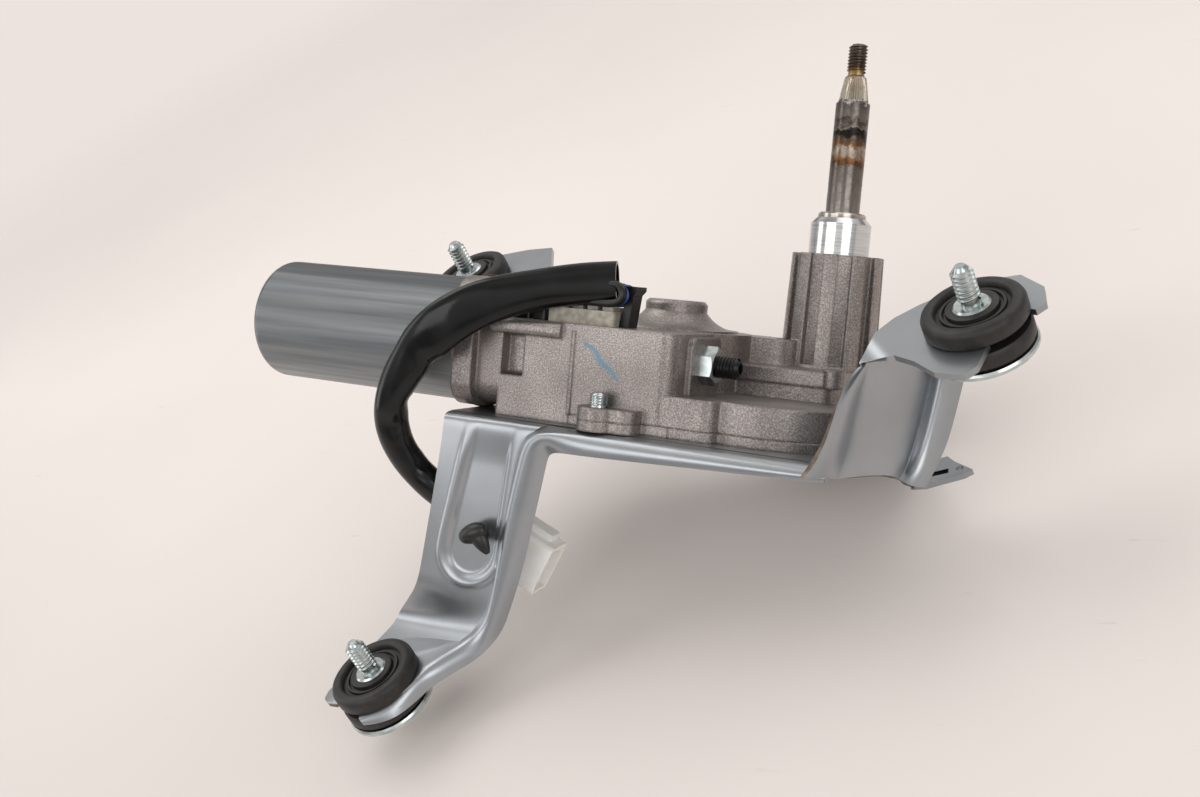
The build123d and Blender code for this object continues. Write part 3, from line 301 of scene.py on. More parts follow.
# %% Die casting
casting, tree, shader = new_material("blasted_die_casting", Metallic=0.8, Roughness=0.4)
place = in_gearbox(tree)
grit = add_node(
    tree, "ShaderNodeTexNoise",
    {"Vector": place.outputs[0], "Scale": 2300.0, "Detail": 2.0, "Roughness": 0.65},
)
cloud = add_node(tree, "ShaderNodeTexNoise", {"Vector": place.outputs[0], "Scale": 45.0, "Detail": 3.0})
both = add_node(
    tree, "ShaderNodeMix", {"Factor": 0.3, "A": grit.outputs["Fac"], "B": cloud.outputs["Fac"]},
    data_type="FLOAT",
)
tone = ramp(tree, both.outputs[0], [(0.34, "#69635f"), (0.5, "#8a8380"), (0.64, "#b2aba6")])
tree.links.new(tone.outputs["Color"], shader.inputs["Base Color"])
# A fitter's blue pen stroke, wiped thin: the distance from a short line on the front face.
parts = add_node(tree, "ShaderNodeSeparateXYZ", {0: place.outputs[0]})
pen_start, pen_end = at(-52.0, -69, 23.5) * 1000, at(-39.4, -69, 15.0) * 1000
pen = [Vector((v.dot(along_motor), v.dot(to_back), v.dot(up_spindle))) / 1000 for v in (pen_start, pen_end)]
run = (pen[1] - pen[0]).normalized()
offset = add_node(tree, "ShaderNodeVectorMath", {0: place.outputs[0], 1: pen[0]}, operation="SUBTRACT")
forward = add_node(tree, "ShaderNodeVectorMath", {0: offset.outputs[0], 1: run}, operation="DOT_PRODUCT")
wobble = add_node(tree, "ShaderNodeTexNoise", {"Vector": place.outputs[0], "Scale": 110.0, "Detail": 1.0})
sideways = add_node(
    tree, "ShaderNodeVectorMath", {0: offset.outputs[0], 1: run.cross(Vector((0, -1, 0)))},
    operation="DOT_PRODUCT",
)
swing = add_node(tree, "ShaderNodeMapRange", {"Value": wobble.outputs["Fac"], "To Min": -0.0026, "To Max": 0.0026})
across = add_node(tree, "ShaderNodeMath", {0: sideways.outputs["Value"], 1: swing.outputs[0]}, operation="ADD")
distance = add_node(tree, "ShaderNodeMath", {0: across.outputs[0]}, operation="ABSOLUTE")
near = add_node(
    tree, "ShaderNodeMapRange",
    {"Value": distance.outputs[0], "From Min": 0.0003, "From Max": 0.0009, "To Min": 0.75, "To Max": 0.0},
)
started = add_node(tree, "ShaderNodeMath", {0: forward.outputs["Value"], 1: 0.0}, operation="GREATER_THAN")
ended = add_node(
    tree, "ShaderNodeMath", {0: forward.outputs["Value"], 1: (pen[1] - pen[0]).length},
    operation="LESS_THAN",
)
in_front = add_node(tree, "ShaderNodeMath", {0: parts.outputs["Y"], 1: pen[0].y + 0.0006}, operation="LESS_THAN")
blotted = add_node(tree, "ShaderNodeMapRange", {"Value": grit.outputs["Fac"], "From Min": 0.36, "From Max": 0.56})
stroke = near.outputs[0]
for factor in (started.outputs[0], ended.outputs[0], in_front.outputs[0], blotted.outputs[0]):
    stroke = add_node(tree, "ShaderNodeMath", {0: stroke, 1: factor}, operation="MULTIPLY").outputs[0]
penned = add_node(
    tree, "ShaderNodeMix", {"Factor": stroke, 6: tone.outputs["Color"], 7: linear("#2f7f9e")},
    data_type="RGBA",
)
tree.links.new(penned.outputs[2], shader.inputs["Base Color"])
rounded = add_node(tree, "ShaderNodeBevel", {"Radius": 0.0011}, samples=6)
dents = add_node(
    tree, "ShaderNodeBump",
    {"Height": grit.outputs["Fac"], "Strength": 0.3, "Distance": 0.00022, "Normal": rounded.outputs[0]},
)
tree.links.new(dents.outputs["Normal"], shader.inputs["Normal"])

# %% [markdown]
# **Bright zinc, polished steel, black oxide.** Small fasteners are plated and shiny; the
# spindle and its bushing are ground steel; the adjuster is a blackened set screw.

# %% Small metals
bright_zinc, tree, shader = new_material("bright_zinc_plate", Metallic=1.0, Roughness=0.24)
place = in_gearbox(tree)
cloud = add_node(tree, "ShaderNodeTexNoise", {"Vector": place.outputs[0], "Scale": 260.0, "Detail": 2.0})
tone = ramp(tree, cloud.outputs["Fac"], [(0.35, "#a9b3b4"), (0.65, "#cdd3d1")])
tree.links.new(tone.outputs["Color"], shader.inputs["Base Color"])

ground_steel, tree, shader = new_material("ground_steel", Metallic=1.0, Roughness=0.16)
place = in_gearbox(tree, (90, 90, 900))
rings = add_node(tree, "ShaderNodeTexNoise", {"Vector": place.outputs[0], "Scale": 1.0, "Detail": 2.0})
tone = ramp(tree, rings.outputs["Fac"], [(0.3, "#8d8781"), (0.6, "#bcb6ae")])
tree.links.new(tone.outputs["Color"], shader.inputs["Base Color"])

# The bushing is turned and polished, so it mirrors the room.
polished_steel, tree, shader = new_material("polished_bushing", Metallic=1.0, Roughness=0.1)
place = in_gearbox(tree, (60, 60, 2400))
lines = add_node(tree, "ShaderNodeTexNoise", {"Vector": place.outputs[0], "Scale": 1.0, "Detail": 1.0})
tone = ramp(tree, lines.outputs["Fac"], [(0.3, "#b9babb"), (0.7, "#d4d5d4")])
tree.links.new(tone.outputs["Color"], shader.inputs["Base Color"])
uneven = add_node(tree, "ShaderNodeMapRange", {"Value": lines.outputs["Fac"], "To Min": 0.06, "To Max": 0.18})
tree.links.new(uneven.outputs[0], shader.inputs["Roughness"])

# The spindle shows its years: rust in bands where the arm's cap sat, old grease on the
# thread, a cleaner knurled cone. Z here runs up the spindle, 45.1 mm below the gearbox's own.
worn_steel, tree, shader = new_material("worn_spindle_steel", Metallic=0.85, Roughness=0.28)
place = in_gearbox(tree)
parts = add_node(tree, "ShaderNodeSeparateXYZ", {0: place.outputs[0]})
blotch = add_node(
    tree, "ShaderNodeTexNoise",
    {"Vector": place.outputs[0], "Scale": 330.0, "Detail": 4.0, "Roughness": 0.65},
)
ragged = add_node(
    tree, "ShaderNodeMapRange",
    {"Value": blotch.outputs["Fac"], "From Min": 0.25, "From Max": 0.75, "To Min": -0.0026, "To Max": 0.0026},
)
height = add_node(tree, "ShaderNodeMath", {0: parts.outputs["Z"], 1: ragged.outputs[0]}, operation="ADD")
up_it = add_node(tree, "ShaderNodeMapRange", {"Value": height.outputs[0], "From Min": 0.0249, "From Max": 0.0775})
tone = ramp(
    tree, up_it.outputs[0],
    [
        (0.0, "#77716b"), (0.262, "#5f5853"), (0.285, "#4e3218"), (0.315, "#6e4a2a"), (0.35, "#8f857a"),
        (0.38, "#857b70"), (0.40, "#6b4824"), (0.43, "#4c4036"), (0.455, "#171412"), (0.485, "#1b1816"),
        (0.50, "#6f675f"), (0.53, "#3a332e"), (0.565, "#6b645e"), (0.65, "#4f4a47"), (0.665, "#aaa297"),
        (0.80, "#b6ab98"), (0.82, "#8d6f3f"), (0.87, "#4a3e34"), (1.0, "#655b52"),
    ],
)
stained = add_node(
    tree, "ShaderNodeMapRange",
    {"Value": blotch.outputs["Fac"], "From Min": 0.35, "From Max": 0.75, "To Min": 0.16, "To Max": 0.5},
)
tree.links.new(tone.outputs["Color"], shader.inputs["Base Color"])
tree.links.new(stained.outputs[0], shader.inputs["Roughness"])

black_oxide, tree, shader = new_material("black_oxide_steel", Metallic=0.5, Roughness=0.34)
place = in_gearbox(tree)
worn = add_node(tree, "ShaderNodeTexNoise", {"Vector": place.outputs[0], "Scale": 500.0, "Detail": 3.0})
tone = ramp(tree, worn.outputs["Fac"], [(0.35, "#121212"), (0.75, "#262424")])
tree.links.new(tone.outputs["Color"], shader.inputs["Base Color"])

# %% [markdown]
# **Rubber, plastics and copper.** The mounts are brown-black rubber with dust in the
# grooves. The sleeve is glossy black PVC; the connector is natural nylon.

# %% Soft and moulded materials
rubber, tree, shader = new_material("moulded_rubber", Roughness=0.5)
place = in_gearbox(tree)
dust = add_node(tree, "ShaderNodeTexNoise", {"Vector": place.outputs[0], "Scale": 320.0, "Detail": 4.0})
tone = ramp(tree, dust.outputs["Fac"], [(0.35, "#141211"), (0.7, "#272321")])
tree.links.new(tone.outputs["Color"], shader.inputs["Base Color"])

pvc, tree, shader = new_material("black_pvc_sleeve", Roughness=0.24, IOR=1.4)
place = in_gearbox(tree)
haze = add_node(tree, "ShaderNodeTexNoise", {"Vector": place.outputs[0], "Scale": 90.0, "Detail": 3.0})
tone = ramp(tree, haze.outputs["Fac"], [(0.35, "#070707"), (0.75, "#101011")])
worn = add_node(
    tree, "ShaderNodeMapRange",
    {"Value": haze.outputs["Fac"], "From Min": 0.35, "From Max": 0.7, "To Min": 0.13, "To Max": 0.26},
)
dents = add_node(tree, "ShaderNodeBump", {"Height": haze.outputs["Fac"], "Strength": 0.25, "Distance": 0.0006})
tree.links.new(tone.outputs["Color"], shader.inputs["Base Color"])
tree.links.new(worn.outputs[0], shader.inputs["Roughness"])
tree.links.new(dents.outputs["Normal"], shader.inputs["Normal"])


def clouded(material_name, low, high, patch, bump=0.0, **shader_values):
    """A material whose colour drifts between two near tones, in patches of so many mm."""
    material, tree, shader = new_material(material_name, **shader_values)
    spots = add_node(
        tree, "ShaderNodeTexNoise",
        {"Vector": in_gearbox(tree).outputs[0], "Scale": 1000.0 / patch, "Detail": 3.0},
    )
    tone = ramp(tree, spots.outputs["Fac"], [(0.35, low), (0.65, high)])
    tree.links.new(tone.outputs["Color"], shader.inputs["Base Color"])
    if bump:
        grain = add_node(
            tree, "ShaderNodeBump",
            {"Height": spots.outputs["Fac"], "Strength": 0.3, "Distance": bump / 1000},
        )
        tree.links.new(grain.outputs["Normal"], shader.inputs["Normal"])
    return material, shader


# Moulded nylon shows faint flow clouds some 3 mm across; sintered and pressed parts show grain.
black_plastic = clouded("black_nylon", "#0b0a0a", "#161514", 3.0, Roughness=0.36)[0]
terminal_plastic = clouded("phenolic_terminal_block", "#8f887c", "#b3ac9e", 2.0, 0.05, Roughness=0.45)[0]
nylon, shader = clouded("natural_nylon", "#f8f5ef", "#fdfcf9", 4.0, Roughness=0.42)
shader.inputs["Subsurface Weight"].default_value = 0.15
shader.inputs["Subsurface Radius"].default_value = (0.003, 0.002, 0.001)
copper = clouded("enamelled_copper", "#9c5a30", "#bd7746", 0.8, 0.1, Metallic=1.0, Roughness=0.35)[0]
ferrite = clouded("ferrite_magnet", "#262628", "#343436", 0.6, 0.05, Roughness=0.6)[0]
bronze = clouded("sintered_bronze", "#86683c", "#a98852", 0.5, 0.05, Metallic=1.0, Roughness=0.5)[0]
carbon = clouded("carbon_brush", "#1c1c1d", "#2b2b2b", 0.4, 0.05, Roughness=0.6)[0]
gear_nylon = clouded("gear_nylon", "#d2cab3", "#e0dac7", 3.0, Roughness=0.45)[0]

# %% Give each CAD node its finish
finishes = {
    "zinc_sheet": zinc_sheet,
    "can_steel": galvanised,
    "die_cast": casting,
    "bright_steel": ground_steel,
    "zinc_bright": bright_zinc,
    "black_steel": black_oxide,
    "rubber": rubber,
    "black_plastic": black_plastic,
    "brown_plastic": terminal_plastic,
    "nylon": nylon,
    "pvc_sleeve": pvc,
    "copper": copper,
    "magnet": ferrite,
    "bronze": bronze,
    "carbon": carbon,
    "gear_nylon": gear_nylon,
}
slot_of = {part["node"]: part["material_slot"] for part in frame["record"]["subparts"]}
for name, node in frame["nodes"].items():
    node.data.materials.clear()
    node.data.materials.append(finishes[slot_of[name]])
frame["nodes"]["spindle_bushing"].data.materials.clear()
frame["nodes"]["spindle_bushing"].data.materials.append(polished_steel)

# %% [markdown]
# ## Shaping helpers
# Three ways of shaping carry this scene. A *skin* is a grid laid over a few measured lines,
# like sheet metal over a press tool. A *turned* piece is a profile spun round an axis. A
# *thread* is a small wedge wound round a core by a Screw modifier.

# %% Shaping helpers
def only(piece):
    bpy.ops.object.select_all(action="DESELECT")
    piece.select_set(True)
    bpy.context.view_layer.objects.active = piece


def apply_modifier(piece, kind, **settings):
    only(piece)
    bpy.ops.object.modifier_add(type=kind)
    modifier = piece.modifiers[-1]
    for name, value in settings.items():
        setattr(modifier, name, value)
    bpy.ops.object.modifier_apply(modifier=modifier.name)


def edit(piece, *steps):
    """Runs mesh operators on the whole piece, each given as (operator, settings)."""
    only(piece)
    bpy.ops.object.mode_set(mode="EDIT")
    bpy.ops.mesh.select_all(action="SELECT")
    for operator, settings in steps:
        operator(**settings)
    bpy.ops.object.mode_set(mode="OBJECT")


def smooth(piece, angle):
    only(piece)
    bpy.ops.object.shade_smooth_by_angle(angle=radians(angle))


def joined(name, pieces):
    only(pieces[0])
    for piece in pieces:
        piece.select_set(True)
    if len(pieces) > 1:
        bpy.ops.object.join()
    piece = bpy.context.object
    piece.name = name
    return piece


def dress(piece, material, slot, body, *nodes):
    if material:
        piece.data.materials.clear()
        piece.data.materials.append(material)
    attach(piece, body)
    if nodes:
        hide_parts(*nodes)


def in_gear(place):
    """A scene place in millimetres as a gearbox place."""
    offset = Vector(place) - gear_origin
    return Vector((offset.dot(along_motor), offset.dot(to_back), offset.dot(up_spindle)))


def on_curve(points, t):
    """The place at t, from 0 to 1, on a smooth curve that starts and ends on the end points."""
    spans = len(points) - 1
    span = min(int(t * spans), spans - 1)
    f = t * spans - span
    b, c = points[span], points[span + 1]
    a = points[span - 1] if span > 0 else b * 2 - c
    d = points[span + 2] if span + 2 <= spans else c * 2 - b
    return (
        a * (1 - f) ** 3 + b * (3 * f**3 - 6 * f**2 + 4) + c * (-3 * f**3 + 3 * f**2 + 3 * f + 1) + d * f**3
    ) / 6


def skin(name, rails, columns, rows, thickness, press=None):
    """Lays a grid over gearbox lines: columns run across the rails, rows along them.

    press moves each place, in millimetres, before it goes on the mesh.
    """
    bpy.ops.mesh.primitive_grid_add(x_subdivisions=columns, y_subdivisions=rows, size=1)
    piece = bpy.context.object
    piece.name = name
    rails = [[Vector(point) for point in rail] for rail in rails]
    for vertex in piece.data.vertices:
        u, v = vertex.co.x + 0.5, vertex.co.y + 0.5
        place = on_curve([on_curve(rail, v) for rail in rails], u)
        if press:
            place = press(place, u, v)
        vertex.co = at(*place)
    piece.data.materials.append(zinc_sheet)
    piece.data.materials.append(sheared_edge)
    apply_modifier(
        piece, "SOLIDIFY", thickness=thickness, offset=-1, use_even_offset=True, thickness_clamp=0.5,
        material_offset_rim=1,
    )
    return piece


def turned(name, profile, origin, axis, side, steps):
    """Spins a closed (radius, height) profile, in millimetres, round an axis through origin.

    side is a direction square to the axis, in which the profile is drawn.
    """
    bpy.ops.mesh.primitive_circle_add(vertices=len(profile), radius=1)
    piece = bpy.context.object
    piece.name = name
    axis, side, origin = Vector(axis), Vector(side), Vector(origin)
    for vertex, (radius, height) in zip(piece.data.vertices, profile):
        vertex.co = (origin + side * radius + axis * height) / 1000
    edit(
        piece,
        (bpy.ops.mesh.spin, dict(steps=steps, angle=2 * pi, center=origin / 1000, axis=axis)),
        (bpy.ops.mesh.remove_doubles, dict(threshold=1e-6)),
        (bpy.ops.mesh.normals_make_consistent, {}),
    )
    return piece


def thread(name, origin, axis, side, root, crest, pitch, turns):
    """A ridge wound round the axis, from origin up, on a core of the root radius."""
    bpy.ops.mesh.primitive_circle_add(vertices=4, radius=1)
    ridge = bpy.context.object
    ridge.name = name
    corners = [(root - 0.15, 0), (crest, pitch * 0.42), (crest, pitch * 0.56), (root - 0.15, pitch * 0.98)]
    for vertex, (radius, height) in zip(ridge.data.vertices, corners):
        vertex.co = Vector((radius, 0, height)) / 1000
    apply_modifier(
        ridge, "SCREW", axis="Z", angle=2 * pi, screw_offset=pitch / 1000, iterations=turns, steps=28,
        render_steps=28, use_merge_vertices=False, use_smooth_shade=False,
    )
    turn = Matrix((Vector(side), Vector(axis).cross(Vector(side)), Vector(axis))).transposed().to_4x4()
    ridge.data.transform(Matrix.Translation(Vector(origin) / 1000) @ turn)
    edit(ridge, (bpy.ops.mesh.normals_make_consistent, {}))
    return ridge


def carried_over(node, name):
    """A copy of a CAD node's mesh and finish, with its doubled corners merged."""
    piece = bpy.data.objects.new(name, frame["nodes"][node].data.copy())
    bpy.context.collection.objects.link(piece)
    edit(piece, (bpy.ops.mesh.remove_doubles, dict(threshold=2e-6)))
    return piece


def remove_faces(piece, unwanted):
    """Deletes the faces whose centre, in millimetres, unwanted() says yes to."""
    for polygon in piece.data.polygons:
        polygon.select = bool(unwanted(Vector(polygon.center) * 1000))
    for vertex in piece.data.vertices:
        vertex.select = False
    for line in piece.data.edges:
        line.select = False
    only(piece)
    bpy.ops.object.mode_set(mode="EDIT")
    bpy.ops.mesh.select_mode(type="FACE")
    bpy.ops.mesh.delete(type="FACE")
    bpy.ops.mesh.select_mode(type="VERT")
    bpy.ops.object.mode_set(mode="OBJECT")


# %% [markdown]
# ## The bracket
# CAD folds the bracket from flat plates with sharp bends. The real one is a deep pressing:
# its front edge rolls over in one sweep from the right-hand web, along the base and down the
# arm to the fork. The plates behind stay as CAD has them. Three skins (the rolled edge, the
# arm and the right-hand web) and one cut plate (the front fork) replace the front.

# %% Keep the plates behind
sheet = 1.8
front_cut = -73.4
bracket_back = carried_over("bracket", "bracket_back")
edit(
    bracket_back,
    (bpy.ops.mesh.bisect, dict(plane_co=at(0, front_cut, 0), plane_no=to_back, use_fill=False)),
)


def pressed_front(centre):
    place = in_gear(centre)
    on_base = place.z > -2.2
    if on_base and place.y < front_cut and -96.0 < place.x < 27.5:
        return True
    if -63.2 < place.z < -1.95 and place.y < -67.5 and -107 < place.x < 26.5:
        return True
    if centre.x < -110 and place.y < -45 and place.z < -10:
        return True
    right = place.x > 21.5 and -53.0 < centre.z < -8.2 and not (-1.95 < place.z < 0.1)
    return right and centre.x > -45


remove_faces(bracket_back, pressed_front)

# %% [markdown]
# The rolled front edge: five lines, from the flat of the sheet over the crest to the sheared
# edge, each followed from the right-hand end of the base to the tip of the front fork.

# %% Rolled front edge
crest = [
    (27, -78.8, -1.6), (12, -78.8, -1.6), (-2, -78.8, -1.6), (-25, -78.8, -1.6), (-43, -78.8, -1.6),
    (-53, -78.8, -1.5), (-58.5, -78.6, -2.6), (-62, -78.5, -5.2), (-63.8, -78.2, -9.8),
    (-66.2, -77.3, -20.2), (-69.1, -76.2, -34.3), (-70.9, -75.1, -48.4), (-72.7, -74.4, -58.1),
    (-74.4, -74.0, -64.0),
]
outer = [
    (27, -79, -4.2), (12, -79, -5.0), (-2, -79, -5.4), (-25, -79, -6.3), (-43, -79, -7.0),
    (-51.5, -78.2, -7.2), (-55.2, -76, -7.8), (-57.3, -74.6, -9), (-58.2, -74, -12), (-59.8, -73.3, -20),
    (-62.9, -71.7, -34), (-66, -70.5, -48.3), (-69.1, -69.8, -58.2), (-71.4, -69.4, -66.2),
]
flat = [(x, -72.4, -0.05) for x in (27, 12, -2, -25, -43)] + [
    (-55, -72.4, -0.05), (-62, -74.2, -0.3), (-66, -76.0, -2.5), (-67.6, -75.6, -8.8), (-69.4, -74.9, -19.6),
    (-72.3, -73.8, -33.6), (-74.2, -72.8, -47.6), (-76.0, -72.0, -57.0), (-78.4, -71.6, -62.5),
]
valley = [(x, -76.9, -0.3) for x in (27, 12, -2, -25, -43)] + [
    (x - 2.1, y + 1.2, z + 0.3) for x, y, z in crest[5:]
]
face = [
    ((c[0] + o[0]) / 2 + 0.3, (c[1] + o[1]) / 2 - 0.8, (c[2] + o[2]) / 2) for c, o in zip(crest, outer)
]
fork_crest = [
    (-152.4, -73.4, -54.2), (-157, -79, -54.2), (-161.2, -84, -54.2), (-162.8, -88.6, -54.2),
    (-164.5, -94.3, -54.2), (-169.4, -98.9, -54.2), (-172.6, -103.2, -54.2), (-175.5, -105.6, -54.2),
]
fork_outer = [
    (-149.7, -75.9, -59.5), (-154, -80.3, -59.5), (-159.1, -86, -59.5), (-161.5, -89.6, -59.5),
    (-163.1, -95.1, -59.3), (-165.5, -101.4, -58.6), (-170, -105, -57.8), (-173.5, -107, -56.5),
]
fork_flat = [
    (-157.5, -70.8, -54.9), (-161.5, -76, -54.9), (-165, -80.8, -54.9), (-166.5, -86.4, -54.9),
    (-168.5, -93.4, -54.9), (-172, -96, -54.9), (-175, -99.5, -54.9), (-177.5, -101.5, -54.9),
]
fork_valley = [(c[0] * 0.6 + f[0] * 0.4, c[1] * 0.6 + f[1] * 0.4, -54.75) for c, f in zip(fork_crest, fork_flat)]
fork_face = [
    ((c[0] + o[0]) / 2 + 0.5, (c[1] + o[1]) / 2 - 0.6, (c[2] + o[2]) / 2 + 0.6) for c, o in zip(fork_crest, fork_outer)
]
rails = [
    [Vector(point) for point in base] + [in_gear(point) for point in fork]
    for base, fork in (
        (flat, fork_flat), (valley, fork_valley), (crest, fork_crest), (face, fork_face), (outer, fork_outer),
    )
]
front_edge = skin("front_edge", rails, 24, 260, -sheet / 1000)

# %% [markdown]
# The arm's face has a long pressed pocket: raised along its sides, hollow in the middle and
# round at the foot. The grid is fine enough for the press to be a change of depth.

# %% Arm with its pocket
arm_left = [
    (-92.9, -72.0, -0.05), (-92.9, -75.6, -0.15), (-92.7, -77.6, -1.4), (-92.8, -77.4, -5.0), (-93.7, -77, -13.6),
    (-96, -76, -27.9), (-98.5, -74.5, -41), (-100.4, -73.3, -50.9), (-102.0, -72.7, -57.5),
] + [in_gear(point) for point in ((-186.6, -64.2, -52.2), (-187.4, -68.0, -54.3), (-189.0, -73.2, -54.44), (-190.2, -78.6, -54.44))]
arm_right = [
    (-58.0, -72.0, -0.1), (-59.0, -75.6, -0.3), (-62.0, -76.7, -2.2), (-64.3, -76.6, -6.0), (-66.4, -75.9, -13.6),
    (-69.0, -75.0, -27.9), (-71.2, -73.9, -41), (-72.4, -73.2, -50.9), (-73.6, -72.8, -57.5),
] + [in_gear(point) for point in ((-150.3, -68.8, -52.8), (-155.0, -73.0, -54.6), (-159.6, -78.4, -54.7), (-163.0, -83.4, -54.7))]


def pocket(place, u, v):
    """How the press moves the arm's face: a ridge round the pocket, and a hollow inside."""
    if place.z > 0 or place.z < -62:
        return place
    across = u * 28.0
    upper = min(max((place.z + 38.0) / 36.0, 0.0), 1.0)
    left, right = 7.8 + 2.4 * upper, 25.8 - 2.2 * upper
    middle, reach = (left + right) / 2, (right - left) / 2
    if place.z > -41.5:
        inside = min(across - left, right - across)
    else:
        inside = reach - ((across - middle) ** 2 + (place.z + 41.5) ** 2) ** 0.5
    fade = min(max(-place.z / 15.0, 0.0), 1.0)
    fade = fade * fade * (3 - 2 * fade)
    hollow = min(max((inside + 0.3) / 2.1, 0.0), 1.0)
    hollow = hollow * hollow * (3 - 2 * hollow)
    outside_distance = abs(inside + 1.7) / 1.9
    ridge = max(0.0, 1 - outside_distance**2) ** 2 * (0.75 if across < middle or place.z < -44 else 0.35)
    return place + Vector((0, fade * (1.15 * hollow - 0.75 * ridge), 0))


arm = skin(
    "arm",
    [
        arm_left, [a * 0.5 + Vector(b) * 0.5 for a, b in zip([Vector(p) for p in arm_left], arm_right)],
        arm_right,
    ],
    64, 150, -sheet / 1000, pocket,
)

# %% [markdown]
# The front fork plate is cut from flat sheet, with its slot open to one side as in the
# photograph. A filled circle is moved onto the outline, thickened and given rounded edges.

# %% Front fork plate
def plate(name, outline, top, thickness, rounding):
    bpy.ops.mesh.primitive_circle_add(vertices=len(outline), radius=1, fill_type="NGON")
    piece = bpy.context.object
    piece.name = name
    for vertex, (x, y) in zip(piece.data.vertices, outline):
        vertex.co = here(x, y, top)
    edit(piece, (bpy.ops.mesh.normals_make_consistent, {}))
    piece.data.materials.append(zinc_sheet)
    piece.data.materials.append(sheared_edge)
    apply_modifier(
        piece, "SOLIDIFY", thickness=thickness / 1000,
        offset=-1 if piece.data.polygons[0].normal.z > 0 else 1, material_offset_rim=1,
    )
    apply_modifier(
        piece, "BEVEL", width=rounding / 1000, segments=3, limit_method="ANGLE", angle_limit=radians(50),
    )
    return piece


corners = [
    (-188.8, -72.5), (-190.2, -79.0), (-192.0, -86.0), (-194.2, -93.0), (-195.2, -97.4), (-194.6, -100.2),
    (-191.5, -101.9), (-188.4, -102.0), (-186.6, -100.9), (-186.9, -98.6), (-187.2, -95.4), (-186.3, -91.6),
    (-183.6, -87.6), (-180.0, -85.0), (-176.6, -84.3), (-173.4, -85.0), (-170.8, -87.4), (-169.7, -91.0),
    (-170.1, -95.0), (-171.6, -98.8), (-173.9, -102.8), (-175.6, -105.4), (-173.6, -104.8), (-170.6, -101.8),
    (-167.6, -98.4), (-164.9, -95.2), (-163.3, -91.2), (-162.5, -87.0), (-160.8, -83.8), (-156.9, -79.2),
    (-153.4, -74.6), (-152.4, -72.2),
]
front_fork = plate("front_fork", corners, -54.5, sheet, 0.5)

# %% [markdown]
# The right-hand web rises from the base to the right mount: a plain web between a front lip
# that turns outward and a rounded ridge at the back. Nine lines run up it.

# %% Right-hand web
web_lines = [
    [
        (-35.8, -47.7, -16.2), (-33.7, -42.9, -15.1), (-31.9, -36.9, -12.7), (-29.7, -29.5, -7.3),
        (-28.6, -23.1, -5.3), (-27.8, -15.7, -5.9), (-27.8, -14.4, -6.6),
    ],
    [
        (-33.6, -43.2, -19.9), (-32.1, -40.4, -18.3), (-30.1, -34.8, -14.5), (-28.3, -28.2, -9.1),
        (-27.3, -22.2, -6.8), (-26.9, -14.4, -6.6), (-26.9, -13.4, -6.8),
    ],
    [
        (-34.0, -35.7, -26.8), (-33.8, -31.1, -25.9), (-32.2, -26.2, -21.6), (-29.7, -21.3, -15.2),
        (-27.8, -16.6, -10.8), (-26.7, -12.1, -8.4), (-26.6, -12.0, -6.9),
    ],
    [
        (-33.7, -32.3, -29.4), (-33.9, -27.2, -28.6), (-32.7, -22.5, -24.7), (-30.1, -17.6, -18.2),
        (-27.7, -12.8, -13.1), (-26.5, -10.3, -10.4), (-25.4, -9.0, -6.9),
    ],
    [
        (-31.0, -23.9, -35.8), (-31.1, -18.5, -34.7), (-30.1, -14.6, -31.4), (-27.6, -10.0, -24.5),
        (-25.2, -5.4, -19.0), (-23.9, -2.8, -15.8), (-22.8, -1.9, -6.9),
    ],
    [
        (-29.0, -17.3, -41.7), (-28.9, -11.6, -41.5), (-27.4, -6.4, -38.4), (-24.7, -1.4, -31.6),
        (-22.3, 3.2, -26.0), (-21.0, 5.6, -22.4), (-20.0, 4.6, -6.9),
    ],
    [
        (-28.7, -14.7, -45.7), (-28.2, -8.4, -45.8), (-26.0, -2.4, -41.8), (-23.2, 3.0, -35.3),
        (-20.9, 7.3, -29.3), (-19.8, 9.5, -26.2), (-18.6, 8.3, -6.9),
    ],
    [
        (-26.1, -14.5, -48.6), (-24.6, -9.7, -45.5), (-22.3, -4.7, -40.1), (-19.5, 0.6, -33.6),
        (-17.2, 4.9, -27.7), (-16.1, 7.0, -24.6), (-15.2, 10.5, -6.9),
    ],
    [
        (-23.9, -11.1, -51.7), (-21.0, -4.6, -48.6), (-18.5, 0.8, -44.9), (-15.7, 6.2, -38.3),
        (-13.6, 10.2, -33.2), (-12.5, 12.3, -30.4), (-11.2, 14.2, -6.9),
    ],
]
# A line given twice makes a tighter bend, here beside the lip and beside the ridge.
web_lines = [web_lines[i] for i in (0, 1, 2, 2, 3, 4, 5, 6, 6, 7, 8)]
right_web = skin("right_web", [[in_gear(point) for point in line] for line in web_lines], 48, 40, sheet / 1000)

for piece in (bracket_back, front_edge, arm, front_fork, right_web):
    edit(piece, (bpy.ops.mesh.normals_make_consistent, {}))
    smooth(piece, 25 if piece is bracket_back else 50)
bracket = joined("pressed_bracket", [bracket_back, front_edge, arm, front_fork, right_web])
dress(bracket, None, "zinc_sheet", "root", "bracket")

# %% [markdown]
# The connector hangs behind the arm on a black clip that snaps through it. In front shows its
# rounded arrow head, with one barb pointing down.

